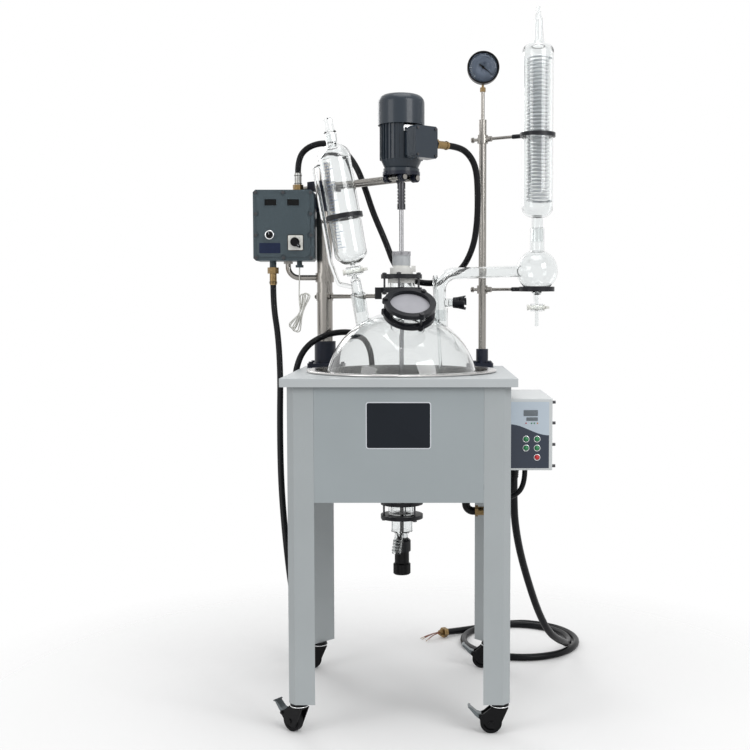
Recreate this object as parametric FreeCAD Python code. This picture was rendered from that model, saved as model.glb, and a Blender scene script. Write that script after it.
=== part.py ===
"""Bench glass reactor: a round glass flask in a heated steel bath, on a castor frame.

Units are millimetres. The origin is on the floor under the reactor's axis. +X is to the
right as seen from the front, the front faces -Y and +Z is up.
"""
import FreeCAD, Part
import math
import os

V = FreeCAD.Vector
UP = V(0, 0, 1)
RIGHT = V(1, 0, 0)
BACK = V(0, 1, 0)

# General clearances
SEAT = 0.3          # between curved faces that rest on each other
RUN = 0.05          # radial gap of a running fit

# Frame and table
FRAME = 633.0       # width and depth over the legs
LEG_FACE = 77.0
LEG_BEVEL = 20.0
LEG_WALL = 2.5
LEG_FOOT = 90.0     # height of the legs' lower end
TOP = 668.0
TOP_Z = 1024.0
TOP_LIP = 24.0
TOP_SHEET = 2.5
APRON_LOW = 672.0
APRON_SHEET = 2.0
APRON_FLANGE = 18.0
SEAM = 0.4

# Castors
CASTOR_AT = 288.0
WHEEL_R = 31.5
WHEEL_W = 22.0
TRAIL = 25.0
CASTOR_TURN = {"fl": -38.0, "fr": 0.0, "rl": 12.0, "rr": -6.0}

# Bath pan
PAN_R = 266.0
PAN_WALL = 2.0
PAN_LOW = 704.0
PAN_CORNER = 25.0
RIM_R = 288.0
RIM_BEAD = 4.0
PAN_HOLE = 46.0
TOP_HOLE = 270.0
HEATER_R = 195.0
HEATER_ROD = 6.5
HEATER_LIFT = 28.0
DRAIN_AT = V(196, -100, 0)
DRAIN_R = 12.0
DRAIN_DROP = 95.0
DRAIN_BEND = 22.0

# Flask
BALL_R = 235.0
BALL_Z = 975.0
GLASS = 5.0
NECK_R = 36.0
FLANGE_R = 42.0
FLANGE_T = 13.0
NECK_TOP = 1296.0
LOW_NECK_R = 33.5
LOW_NECK_END = 597.0
LEFT_FOOT = V(-120.6, 0, 1183)
LEFT_TILT = 9.6
LEFT_NECK_R = 22.0
LEFT_NECK_LEN = 74.0
RIGHT_NECK_X = 118.0
RIGHT_NECK_R = 24.0
RIGHT_NECK_TOP = 1214.0
PORT_TILT = 56.0    # elevation of the manhole's axis
PORT_SWING = 9.8    # its turn to the right of straight ahead
PORT_NECK_R = 52.0
PORT_FLANGE_R = 60.0
PORT_TOP = 293.0    # distance of its flange face from the ball's centre
PORT_COVER_T = 12.0
PORT_LIP = 1.0      # how far the upper ring reaches over the cover

# Clamp rings of the glass joints
CLAMP_R = 63.0
CLAMP_T = 13.0
CLAMP_BOLT_R = 53.0
CLAMP_TURN = -7.0
PORT_RING_R = 76.0
PORT_RING_T = 12.0
LOW_CLAMP_R = 65.5
LOW_CLAMP_T = 12.0
LOW_BOLT_R = 57.0
BOLT_R = 3.0

# Stirrer
SHAFT_R = 6.75
SHAFT_LOW = 800.0
SHAFT_TOP = 1530.0
COUPLING_R = 12.5
COUPLING_TOP = 1600.0
MOTOR_SHAFT_R = 7.0
PADDLE_R = 105.0
PADDLE_H = 62.0
PADDLE_T = 9.0
SEAL_R = 27.5
SEAL_FLANGE_R = 35.5
SEAL_TOP = 1380.0
NUT_R = 28.5
NUT_H = 12.0

# Motor and its arm
ARM_Z = 1614.0
ARM_ROD_R = 8.0
ARM_SPREAD = 27.0
PLATE_R = 57.0
PLATE_T = 10.0
MOTOR_R = 62.0
FIN_OUT = 4.0
FINS = 30
FAN_R = 71.0
MOTOR_BELL = 26.0
MOTOR_FINNED = 112.0
FAN_H = 84.0
TERMINAL_TURN = 37.6
TERMINAL_W = 82.0
TERMINAL_H = 94.0
TERMINAL_D = 44.0
TERMINAL_FACE = 128.0

# Columns
COLUMN_L = V(-260, 260, 0)
COLUMN_R = V(260, 260, 0)
LEFT_OUTER_R = 25.5
LEFT_OUTER_TOP = 1534.0
LEFT_INNER_R = 16.0
LEFT_INNER_TOP = 1699.0
RIGHT_COL_R = 12.5
RIGHT_COL_TOP = 1833.0
BASE_L_R = 35.0
BASE_R_R = 20.0
BASE_PLATE_T = 14.0
BASE_L_H = 86.0      # height of the bases over the table
BASE_R_H = 60.0

# Condenser side
BULB = V(430, 155, 1339)
BULB_R = 66.5
ARM_R = 18.0
THIN_GLASS = 3.0
VAPOUR_BEND = 52.0
VAPOUR_Z = 1324.0
CUP_R = 23.0
CUP_LOW = 1430.0
CUP_TOP = 1474.0
JACKET_R = 49.5
JACKET_LOW = 1540.0
JACKET_TOP = 2045.0
CONDENSER_TOP = 2170.0
VENT_R = 3.0
COIL_R = 33.0
COIL_WIRE = 4.5
COIL_LOW = 1556.0
COIL_TOP = 2014.0
COIL_SHY = 0.5      # gap from the coil's ends to the jacket's wall
RING_W = 7.0
RING_H = 15.0
BULB_RING_DROP = 59.0    # from the bulb's centre to its ring
BULB_RING_Z = BULB.z - BULB_RING_DROP
HOLD_RING_Z = 1770.0
HOLD_ROD_R = 5.0
BOSS_H = 27.0
BOSS_WALL_L = 2.2
BOSS_WALL_R = 5.0

# Addition funnel, measured along its axis from LEFT_FOOT
FUNNEL_R = 49.5
FUNNEL_LOW = 179.0
FUNNEL_TOP = 540.0
FUNNEL_STEM = 8.0
COCK_AT = 152.0
COCK_R = 14.0
COCK_L = 46.0
KEY_R = 7.0
SIDE_TUBE = 65.5
SIDE_TUBE_R = 7.0
FUNNEL_RING_AT = 320.0

# Gauge
GAUGE_R = 51.5
GAUGE_T = 30.0
GAUGE_Z = 1997.0

# Motor control box, left
BOX_X = -484.0
BOX_W = 196.0
BOX_H = 228.0
BOX_CLEAR = 6.0      # between the box's top and the arm's rods
BOX_Z = ARM_Z - ARM_ROD_R - BOX_CLEAR - BOX_H
BOX_Y = 190.0
BOX_D = 100.0
LID_T = 22.0
RIB = 3.0
LID_BAND = 11.5
LID_NOTCH = 11.0
LEFT_STUB = 20.0
WINDOWS_X = (38, 111)
WINDOW_W = 38.0
WINDOW_Z = 177.0
WINDOW_H = 20.0

# Bath control box, right
BATH_W = 125.0
BATH_H = 208.0
BATH_Z = 751.0
BATH_Y = -226.0
BATH_D = 350.0
COVER_T = 12.0
BUTTON_R = 7.0
BUTTON_OUT = 6.0
BUTTON_DOME = 3.5
BUTTON_TRAVEL = 2.0
BUTTONS = {"button_a": (365, 842), "button_b": (397, 842), "button_c": (365, 816),
           "button_d": (397, 816), "button_power": (397, 789)}

# Discharge valve
VALVE_CLAMP_Z = 569.0
VALVE_GAP = 32.0
VALVE_NECK_LOW = 528.0
VALVE_COLLAR_TOP = 503.0
VALVE_COLLAR_LOW = 466.0
COLLAR_R = 27.5
SPOUT_LEN = 76.0
VALVE_STEM_R = 6.0
VALVE_HANDLE_LOW = 393.0

# Conduits
CONDUIT_R = 10.0
MAINS_R = 12.0
HEATER_CORD_R = 8.0
WIRE_R = 2.0
LOOP_AT = V(407, 562, 0)
LOOP_R = 186.0
LOOP_GROWTH = 27.0
LOOP_START = -30.0
LOOP_SPAN = 510.0
LOOP_STEP = 24.0


def cyl(r, h, at=V(0, 0, 0), axis=UP):
    return Part.makeCylinder(r, h, at, axis)


def tube(ro, ri, h, at=V(0, 0, 0), axis=UP):
    return cyl(ro, h, at, axis).cut(cyl(ri, h, at, axis))


def box(x0, x1, y0, y1, z0, z1):
    return Part.makeBox(x1 - x0, y1 - y0, z1 - z0, V(x0, y0, z0))


def join(parts):
    whole = parts[0].multiFuse(parts[1:]) if len(parts) > 1 else parts[0]
    return whole.removeSplitter()


def place(shape, at, axis=UP):
    """Turn a shape made along +Z so that it runs along axis from at."""
    moved = shape.copy()
    moved.Placement = FreeCAD.Placement(at, FreeCAD.Rotation(UP, axis)).multiply(moved.Placement)
    return moved


def turned(shape, degrees, at=V(0, 0, 0), axis=UP):
    moved = shape.copy()
    moved.rotate(at, axis, degrees)
    return moved


def prism(points, depth, at=V(0, 0, 0), axis=UP):
    """Extrude a polygon of (x, y) points along +Z, then place it."""
    wire = Part.makePolygon([V(x, y, 0) for x, y in points + points[:1]])
    return place(Part.Face(wire).extrude(V(0, 0, depth)), at, axis)


def plate(points, depth, origin, right, up):
    """Extrude a polygon drawn on the plane of two unit directions, along their cross product."""
    wire = Part.makePolygon([origin + right * x + up * y for x, y in points + points[:1]])
    return Part.Face(wire).extrude(right.cross(up) * depth)


def hexagon(flats, h, at, axis=UP):
    r = flats / math.sqrt(3)
    points = [(r * math.cos(math.radians(60 * k)), r * math.sin(math.radians(60 * k))) for k in range(6)]
    return prism(points, h, at, axis)


def lathe(profile, at=V(0, 0, 0), axis=UP):
    """Revolve a closed (radius, height) outline; a third value bulges the side that ends there."""
    edges = []
    count = len(profile)
    for k in range(count):
        a = profile[k]
        b = profile[(k + 1) % count]
        pa = V(a[0], 0, a[1])
        pb = V(b[0], 0, b[1])
        if (pa - pb).Length < 1e-6:
            continue
        if len(b) > 2:
            run = pb - pa
            side = V(run.z, 0, -run.x).normalize()
            mid = (pa + pb) * 0.5 + side * b[2]
            edges.append(Part.Arc(pa, mid, pb).toShape())
        else:
            edges.append(Part.LineSegment(pa, pb).toShape())
    face = Part.Face(Part.Wire(edges))
    return place(face.revolve(V(0, 0, 0), UP, 360), at, axis)


def ring(r_mid, r_wire, at, axis=UP):
    return Part.makeTorus(r_mid, r_wire, at, axis)


def bends(points, fixed=None):
    """Radius of each bend: 0.45 of the shorter run over the tangent of half the turn."""
    radii = []
    for a, b, c in zip(points, points[1:], points[2:]):
        turn = (b - a).getAngle(c - b)
        shorter = min((b - a).Length, (c - b).Length)
        radii.append(fixed or 0.45 * shorter / math.tan(turn / 2))
    return radii


def route(points, fixed=None):
    """Wire of straight runs joined by tangent arcs."""
    edges = []
    start = points[0]
    for k, radius in enumerate(bends(points, fixed)):
        a, b, c = points[k:k + 3]
        u = (b - a).normalize()
        w = (c - b).normalize()
        half = u.getAngle(w) / 2
        cut = radius * math.tan(half)
        p0 = b - u * cut
        p1 = b + w * cut
        inward = (w - u).normalize()
        mid = b + inward * (radius / math.cos(half) - radius)
        edges.append(Part.LineSegment(start, p0).toShape())
        edges.append(Part.Arc(p0, mid, p1).toShape())
        start = p1
    edges.append(Part.LineSegment(start, points[-1]).toShape())
    return Part.Wire(edges)


def hose(points, r, fixed=None):
    """Round bar along a route."""
    path = route(points, fixed)
    first = (points[1] - points[0]).normalize()
    section = Part.Wire(Part.makeCircle(r, points[0], first))
    sweep = Part.BRepOffsetAPI.MakePipeShell(path)
    sweep.add(section)
    sweep.build()
    sweep.makeSolid()
    return sweep.shape(), path.Length


def cord(name, points, r):
    """Free conduit along its route; prints its bend radii and compares its volume."""
    solid, length = hose(points, r)
    radii = [round(x) for x in bends(points)]
    runs = [round((b - a).Length) for a, b in zip(points, points[1:])]
    share = solid.Volume / (math.pi * r * r * length)
    print(name, "length", round(length), "radii", radii, "runs", runs, "volume ratio", round(share, 4))
    return solid


def unit(azimuth, elevation=0.0):
    """Direction from a turn to the right of straight ahead (-Y) and a rise."""
    a = math.radians(azimuth)
    e = math.radians(elevation)
    return V(math.sin(a) * math.cos(e), -math.cos(a) * math.cos(e), math.sin(e))


def frame_legs():
    half = FRAME / 2
    inner = half - LEG_FACE
    outline = [(half, inner), (half, half - LEG_BEVEL), (half - LEG_BEVEL, half), (inner, half)]
    legs = []
    for sx in (1, -1):
        for sy in (1, -1):
            points = [(sx * x, sy * y) for x, y in outline]
            shell = prism(points, TOP_Z - TOP_SHEET - LEG_FOOT, V(0, 0, LEG_FOOT))
            wire = Part.makePolygon([V(x, y, LEG_FOOT + LEG_WALL) for x, y in points + points[:1]])
            core = Part.Face(wire).makeOffset2D(-LEG_WALL).extrude(V(0, 0, TOP_Z))
            legs.append(shell.cut(core))
    return legs


def table_top():
    half = TOP / 2
    slab = box(-half, half, -half, half, TOP_Z - TOP_LIP, TOP_Z)
    corners = [e for e in slab.Edges if abs(e.tangentAt(0).z) > 0.9]
    slab = slab.makeFillet(6.0, corners)
    rim = [e for e in slab.Edges if e.BoundBox.ZMin > TOP_Z - 0.01]
    slab = slab.makeFillet(2.0, rim)
    inner = half - TOP_SHEET
    pocket = box(-inner, inner, -inner, inner, TOP_Z - TOP_LIP, TOP_Z - TOP_SHEET)
    return slab.cut(pocket).cut(cyl(TOP_HOLE, TOP_LIP, V(0, 0, TOP_Z - TOP_LIP)))


def apron_panel(y_out, length):
    """Folded panel along X whose outer face is at y_out (negative)."""
    top = TOP_Z - TOP_SHEET - SEAM
    s = APRON_SHEET
    y_in = y_out + s
    y_deep = y_out + APRON_FLANGE
    points = [(y_out, APRON_LOW), (y_deep, APRON_LOW), (y_deep, APRON_LOW + s), (y_in, APRON_LOW + s),
              (y_in, top - s), (y_deep, top - s), (y_deep, top), (y_out, top)]
    wire = Part.makePolygon([V(-length / 2, y, z) for y, z in points + points[:1]])
    return Part.Face(wire).extrude(V(length, 0, 0))


def apron_panels():
    length = FRAME - 2 * LEG_FACE - 2 * SEAM
    front = apron_panel(-FRAME / 2, length)
    panels = [turned(front, 90 * k) for k in range(4)]
    panels[2] = panels[2].cut(cyl(10.5, 20, V(REAR_GLAND_X, FRAME / 2 - 10, REAR_GLAND_Z), BACK))
    return panels


def bath_pan():
    low = PAN_LOW
    r = PAN_R
    w = PAN_WALL
    c = PAN_CORNER
    bulge = c * (1 - math.sqrt(0.5))
    rim = TOP_Z + 2 * RIM_BEAD
    inner_bulge = -(c - w) * (1 - math.sqrt(0.5))
    sheet = lathe([(PAN_HOLE, low), (r - c, low), (r, low + c, bulge), (r, rim - w), (RIM_R, rim - w),
                   (RIM_R, rim), (r - w, rim), (r - w, low + c), (r - c, low + w, inner_bulge),
                   (PAN_HOLE, low + w)])
    pan = join([sheet, ring(RIM_R, RIM_BEAD, V(0, 0, rim - RIM_BEAD))])
    pan = pan.cut(cyl(DRAIN_R - 4, 20, DRAIN_AT + V(0, 0, low - 10)))
    for at in heater_ends():
        pan = pan.cut(cyl(HEATER_ROD + SEAT, 20, at + V(0, 0, low - 10)))
    return pan


def heater_ends():
    return [around(V(0, 0, 0), RIGHT, BACK, HEATER_R, a) for a in (-14, 14)]


def bath_heater():
    """Open ring of heating rod, whose two ends turn down through the pan's floor."""
    z = PAN_LOW + PAN_WALL + HEATER_LIFT
    loop = Part.makeTorus(HEATER_R, HEATER_ROD, V(0, 0, 0), UP, -180, 180, 332)
    loop = turned(loop, 14)
    loop.translate(V(0, 0, z))
    parts = [loop]
    for at in heater_ends():
        end = at + V(0, 0, PAN_LOW - 14)
        parts.append(cyl(HEATER_ROD, z - end.z, end))
        parts.append(Part.makeSphere(HEATER_ROD, at + V(0, 0, z)))
        parts.append(hexagon(22, 6, at + V(0, 0, PAN_LOW + PAN_WALL)))
    return join(parts)


def bath_drain():
    """Elbow under the pan that turns towards the right front leg."""
    start = DRAIN_AT + V(0, 0, PAN_LOW)
    low = start - UP * DRAIN_DROP
    end = low + RIGHT * 27
    path = route([start, low, end], DRAIN_BEND)
    section = Part.Face(Part.Wire(Part.makeCircle(DRAIN_R, start, UP)))
    bar = Part.Wire(path.Edges).makePipe(section)
    bore = Part.Wire(path.Edges).makePipe(Part.Face(Part.Wire(Part.makeCircle(DRAIN_R - 4, start, UP))))
    nut = hexagon(30, 8, start - UP * 8).cut(cyl(DRAIN_R - 4, 8, start - UP * 8))
    return join([bar, nut]).cut(bore)


def flask():
    """Ball with its main neck, outlet, two side necks and manhole, as one wall of glass."""
    g = GLASS
    left = place(cyl(LEFT_NECK_R, LEFT_NECK_LEN + 40), LEFT_FOOT - left_axis() * 40, left_axis())
    right = cyl(RIGHT_NECK_R, RIGHT_NECK_TOP - 1120, V(RIGHT_NECK_X, 0, 1120))
    port = cyl(PORT_NECK_R, PORT_TOP - 190, ball_centre() + port_axis() * 190, port_axis())
    port_foot = ball_centre() + port_axis() * (PORT_TOP - FLANGE_T)
    outer = join([Part.makeSphere(BALL_R, ball_centre()), cyl(NECK_R, NECK_TOP - 1150, V(0, 0, 1150)),
                  cyl(FLANGE_R, FLANGE_T, V(0, 0, NECK_TOP - FLANGE_T)),
                  cyl(LOW_NECK_R, 800 - LOW_NECK_END, V(0, 0, LOW_NECK_END)),
                  cyl(FLANGE_R, FLANGE_T, V(0, 0, LOW_NECK_END)), left, right, port,
                  cyl(PORT_FLANGE_R, FLANGE_T, port_foot, port_axis())])
    left_bore = place(cyl(LEFT_NECK_R - 3.5, LEFT_NECK_LEN + 80), LEFT_FOOT - left_axis() * 70, left_axis())
    right_bore = cyl(RIGHT_NECK_R - 3.5, RIGHT_NECK_TOP - 1090, V(RIGHT_NECK_X, 0, 1095))
    port_bore = cyl(PORT_NECK_R - g, PORT_TOP - 170, ball_centre() + port_axis() * 180, port_axis())
    inner = join([Part.makeSphere(BALL_R - g, ball_centre()), cyl(NECK_R - g, NECK_TOP - 1150, V(0, 0, 1150)),
                  cyl(LOW_NECK_R - g, 820 - LOW_NECK_END, V(0, 0, LOW_NECK_END)), left_bore, right_bore,
                  port_bore])
    return outer.cut(inner)


def ball_centre():
    return V(0, 0, BALL_Z)


def left_axis():
    a = math.radians(LEFT_TILT)
    return V(-math.sin(a), 0, math.cos(a))


def port_axis():
    return unit(PORT_SWING, PORT_TILT)


def port_frame():
    """Right and up directions in the manhole's plane."""
    n = port_axis()
    right = unit(90 + PORT_SWING)
    return right, n.cross(right)


def around(centre, right, up, r, angle):
    a = math.radians(angle)
    return centre + right * (r * math.cos(a)) + up * (r * math.sin(a))


NECK_BOLTS = [CLAMP_TURN + 90 * k for k in range(4)]
PORT_BOLTS = [-70.0, 50.0, 170.0]
LOW_BOLTS = [195.0, 315.0, 75.0]
PORT_RING_LOW = PORT_TOP - FLANGE_T - PORT_RING_T - SEAT
PORT_RING_HIGH = PORT_TOP + PORT_COVER_T + 2 * SEAT


def clamp_ring(r_out, r_in, t, centre, axis, right, up, bolt_r, angles, ear):
    """Flat ring with a round ear and a bolt hole at each angle."""
    body = cyl(r_out, t, centre, axis)
    for angle in angles:
        body = body.fuse(cyl(ear, t, around(centre, right, up, bolt_r, angle), axis))
    body = body.cut(cyl(r_in, t, centre, axis))
    for angle in angles:
        body = body.cut(cyl(BOLT_R + SEAT, t, around(centre, right, up, bolt_r, angle), axis))
    return body.removeSplitter()


def clamp_rings():
    """Rings that hold the glass flanges together, the outlet's packing nut and the side port's clip."""
    low_neck = clamp_ring(CLAMP_R, NECK_R + SEAT, CLAMP_T + 3, V(0, 0, neck_ring_z()), UP, RIGHT, BACK,
                          CLAMP_BOLT_R, NECK_BOLTS, 8)
    boss_at = V(-CLAMP_R + 8, 0, neck_ring_z() - 20)
    boss = box(boss_at.x - 26, boss_at.x, -12, 12, boss_at.z, neck_ring_z() + CLAMP_T + 3)
    boss = boss.cut(cyl(CLAMP_R - 1, neck_ring_z() - boss_at.z, V(0, 0, boss_at.z)))
    rod_a, rod_b = neck_rod()
    low_neck = low_neck.fuse(boss).cut(cyl(7 + SEAT, 60, rod_a, rod_b - rod_a))
    for angle in NECK_BOLTS:
        bolt_at = around(V(0, 0, neck_ring_z() - 1), RIGHT, BACK, CLAMP_BOLT_R, angle)
        low_neck = low_neck.cut(cyl(BOLT_R + SEAT, 60, bolt_at))
    top_neck = clamp_ring(CLAMP_R, SEAL_R + SEAT, CLAMP_T, V(0, 0, neck_plate_z()), UP, RIGHT, BACK,
                          CLAMP_BOLT_R, NECK_BOLTS, 8)
    right, up = port_frame()
    n = port_axis()
    lower = clamp_ring(PORT_RING_R, PORT_NECK_R + SEAT, PORT_RING_T, ball_centre() + n * PORT_RING_LOW, n,
                       right, up, PORT_RING_R - 4, PORT_BOLTS, 10)
    upper = clamp_ring(PORT_RING_R, PORT_FLANGE_R - PORT_LIP, PORT_RING_T,
                       ball_centre() + n * PORT_RING_HIGH, n, right, up, PORT_RING_R - 4, PORT_BOLTS, 10)
    valve_z = [VALVE_CLAMP_Z, VALVE_CLAMP_Z + LOW_CLAMP_T + VALVE_GAP]
    valve_low, valve_high = [clamp_ring(LOW_CLAMP_R, LOW_NECK_R + SEAT, LOW_CLAMP_T, V(0, 0, z), UP, RIGHT,
                                        BACK, LOW_BOLT_R, LOW_BOLTS, 8) for z in valve_z]
    return [low_neck, top_neck, lower, upper, valve_low, valve_high, discharge_collar(), port_clip()]


def neck_ring_z():
    return NECK_TOP - FLANGE_T - CLAMP_T - 3 - SEAT


def neck_plate_z():
    return NECK_TOP + SEAT + FLANGE_T + SEAT


def bolt(low, high, axis, head):
    """Plain stud with a nut at both ends."""
    length = (high - low).Length
    return join([cyl(BOLT_R, length + 2 * head, low - axis * head, axis),
                 hexagon(4 * BOLT_R, head - 1, low - axis * (head - 1), axis),
                 hexagon(4 * BOLT_R, head - 1, high, axis)])


def clamp_bolts():
    bolts = []
    for angle in NECK_BOLTS:
        foot = around(V(0, 0, neck_ring_z()), RIGHT, BACK, CLAMP_BOLT_R, angle)
        bolts.append(bolt(foot, V(foot.x, foot.y, neck_plate_z() + CLAMP_T), UP, 6))
    right, up = port_frame()
    n = port_axis()
    for angle in PORT_BOLTS:
        foot = around(ball_centre() + n * PORT_RING_LOW, right, up, PORT_RING_R - 4, angle)
        bolts.append(bolt(foot, foot + n * (PORT_RING_HIGH + PORT_RING_T - PORT_RING_LOW), n, 6))
    for angle in LOW_BOLTS:
        foot = around(V(0, 0, VALVE_CLAMP_Z), RIGHT, BACK, LOW_BOLT_R, angle)
        bolts.append(bolt(foot, foot + UP * (VALVE_GAP + 2 * LOW_CLAMP_T), UP, 6))
    return bolts


def neck_seals():
    """Stirrer seal body on the main neck, and the sleeve that seals the outlet in the pan."""
    z = NECK_TOP + SEAT
    bore = SHAFT_R + RUN
    step = neck_plate_z() + CLAMP_T
    seal = lathe([(bore, z), (FLANGE_R, z), (FLANGE_R, z + FLANGE_T), (SEAL_R, z + FLANGE_T),
                  (SEAL_R, step + SEAT), (SEAL_FLANGE_R, step + SEAT), (SEAL_FLANGE_R, step + 20),
                  (SEAL_R - 2, step + 20), (SEAL_R - 2, step + 26), (SEAL_R, step + 26), (SEAL_R, SEAL_TOP),
                  (bore, SEAL_TOP)])
    lug = box(SEAL_FLANGE_R - 5, SEAL_FLANGE_R + 8, -9, 9, step + 8, step + 26)
    seal = join([seal, lug.cut(cyl(SEAL_R, 60, V(0, 0, step)))])
    low = PAN_LOW
    inner = LOW_NECK_R + SEAT
    lip = PAN_HOLE + 8
    floor = low + PAN_WALL
    neck = PAN_HOLE - SEAT
    sleeve = lathe([(inner, low - 12), (lip, low - 12), (lip, low - SEAT), (neck, low - SEAT),
                    (neck, floor + SEAT), (lip, floor + SEAT), (lip - 4, low + 16), (inner, low + 20)])
    return [seal, sleeve]


def seal_nut():
    """Slotted ring that closes the seal body."""
    nut = tube(NUT_R, SHAFT_R + 6, NUT_H, V(0, 0, SEAL_TOP))
    for k in range(8):
        slot = box(NUT_R - 3, NUT_R + 2, -2.5, 2.5, SEAL_TOP + 2, SEAL_TOP + NUT_H)
        nut = nut.cut(turned(slot, 45 * k))
    return nut


def stirrer_shaft():
    """Shaft, beam coupling and the stub that enters the motor."""
    shaft = cyl(SHAFT_R, SHAFT_TOP - SHAFT_LOW, V(0, 0, SHAFT_LOW))
    coupling = cyl(COUPLING_R, COUPLING_TOP - SHAFT_TOP + 10, V(0, 0, SHAFT_TOP - 10))
    for k in range(5):
        z = SHAFT_TOP + 8 + 10 * k
        groove = tube(COUPLING_R + 1, COUPLING_R - 3, 3.5, V(0, 0, z))
        coupling = coupling.cut(groove)
    stub = cyl(MOTOR_SHAFT_R, motor_z() - COUPLING_TOP + 6, V(0, 0, COUPLING_TOP - 1))
    return join([shaft, coupling, stub])


def stirrer_paddle():
    """Flat anchor blade with rounded lower corners on a hub."""
    z = SHAFT_LOW - 20
    h = PADDLE_H
    r = PADDLE_R
    wire = Part.Wire([Part.LineSegment(V(-r, 0, z + h), V(-r, 0, z + 30)).toShape(),
                      Part.Arc(V(-r, 0, z + 30), V(-r + 12, 0, z + 8), V(-r + 34, 0, z)).toShape(),
                      Part.LineSegment(V(-r + 34, 0, z), V(r - 34, 0, z)).toShape(),
                      Part.Arc(V(r - 34, 0, z), V(r - 12, 0, z + 8), V(r, 0, z + 30)).toShape(),
                      Part.LineSegment(V(r, 0, z + 30), V(r, 0, z + h)).toShape(),
                      Part.LineSegment(V(r, 0, z + h), V(-r, 0, z + h)).toShape()])
    blade = Part.Face(wire).extrude(V(0, PADDLE_T, 0))
    blade.translate(V(0, -PADDLE_T / 2, 0))
    for sx in (-1, 1):
        blade = blade.cut(cyl(14, 30, V(sx * r * 0.55, -15, z + h / 2), BACK))
    hub = cyl(SHAFT_R + 7, h + 16, V(0, 0, z))
    return join([blade, hub]).cut(cyl(SHAFT_R, h + 40, V(0, 0, SHAFT_LOW)))


def motor_z():
    return ARM_Z + ARM_ROD_R + SEAT + PLATE_T


def arm_axis():
    """Horizontal direction from the left column to the reactor's axis."""
    return V(-COLUMN_L.x, -COLUMN_L.y, 0).normalize()


def arm_side():
    return arm_axis().cross(UP)


def motor_plate():
    z = motor_z() - PLATE_T
    disc = cyl(PLATE_R, PLATE_T, V(0, 0, z))
    disc = disc.cut(cyl(MOTOR_SHAFT_R + 6, PLATE_T, V(0, 0, z)))
    for sign in (-1, 1):
        for reach in (-40, 24):
            foot = V(0, 0, ARM_Z) + arm_side() * (sign * ARM_SPREAD) + arm_axis() * reach
            saddle = cyl(ARM_ROD_R + 5, 16, foot, arm_axis())
            saddle = saddle.cut(cyl(ARM_ROD_R + SEAT, 16, foot, arm_axis()))
            disc = disc.fuse(saddle)
    rods = [cyl(ARM_ROD_R + SEAT, 160, V(0, 0, ARM_Z) + arm_side() * (s * ARM_SPREAD) - arm_axis() * 80,
                arm_axis()) for s in (-1, 1)]
    return disc.cut(rods[0]).cut(rods[1]).removeSplitter()


def motor_body():
    """Flanged bell and finned barrel, with the terminal box on its neck."""
    z = motor_z()
    z1 = z + 10
    z2 = z + 10 + MOTOR_BELL
    z3 = z2 + MOTOR_FINNED
    core = lathe([(0, z), (55, z), (55, z1), (50, z1), (MOTOR_R, z2), (MOTOR_R, z3), (0, z3)])
    fins = []
    for k in range(FINS):
        fin = box(MOTOR_R - 2, MOTOR_R + FIN_OUT, -1.4, 1.4, z2, z3)
        fins.append(turned(fin, 360 / FINS * k))
    core = core.cut(cyl(MOTOR_SHAFT_R + RUN, 40, V(0, 0, z)))
    n = unit(TERMINAL_TURN)
    side = unit(TERMINAL_TURN + 90)
    mid = V(0, 0, (z2 + z3) / 2 - 14)
    barrel = join([core] + fins)
    pad = plate([(-28, -34), (28, -34), (28, 34), (-28, 34)], TERMINAL_FACE - TERMINAL_D + 2, mid, side, UP)
    w = TERMINAL_W / 2
    h = TERMINAL_H / 2
    c = 6
    outline = [(x - w, y - h) for x, y in lid_outline(2 * w, 2 * h, c)]
    case = plate(outline, TERMINAL_D - 11, mid + n * (TERMINAL_FACE - TERMINAL_D), side, UP)
    lid = plate(outline, 10, mid + n * (TERMINAL_FACE - 10.5), side, UP)
    neck = plate([(x - 1 if x > 0 else x + 1, y - 1 if y > 0 else y + 1) for x, y in outline], 1,
                 mid + n * (TERMINAL_FACE - 11.2), side, UP)
    hollow = cyl(MOTOR_R - 4, 200, V(0, 0, z2))
    return join([barrel, join([pad, case, lid, neck]).cut(hollow)])


def fan_cover():
    """Deep rounded hood over the motor's fan."""
    z = motor_z() + 10 + MOTOR_BELL + MOTOR_FINNED + SEAT
    w = 2.0
    r = 26.0
    top = z + FAN_H
    b = r * (1 - math.sqrt(0.5))
    bi = (r - w) * (1 - math.sqrt(0.5))
    hood = lathe([(FAN_R - w, z - 8), (FAN_R, z - 8), (FAN_R, top - r), (FAN_R - r, top, b), (0, top),
                  (0, top - w), (FAN_R - r, top - w), (FAN_R - w, top - r, -bi)])
    for k in range(6):
        slot = box(14, 40, -1.6, 1.6, top - 5, top + 5)
        hood = hood.cut(turned(slot, 60 * k))
    seat = tube(FAN_R - 1, MOTOR_R - 12, 3, V(0, 0, z))
    return join([hood, seat])


def neck_rod():
    """Ends of the rod that carries the neck ring, from the ring's boss to the left column."""
    a = V(-CLAMP_R - 6, 0, neck_ring_z() - 10)
    toward = (V(COLUMN_L.x, COLUMN_L.y, a.z) - a).normalize()
    b = V(COLUMN_L.x, COLUMN_L.y, a.z) - toward * (LEFT_OUTER_R + SEAT)
    return a, b


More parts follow.
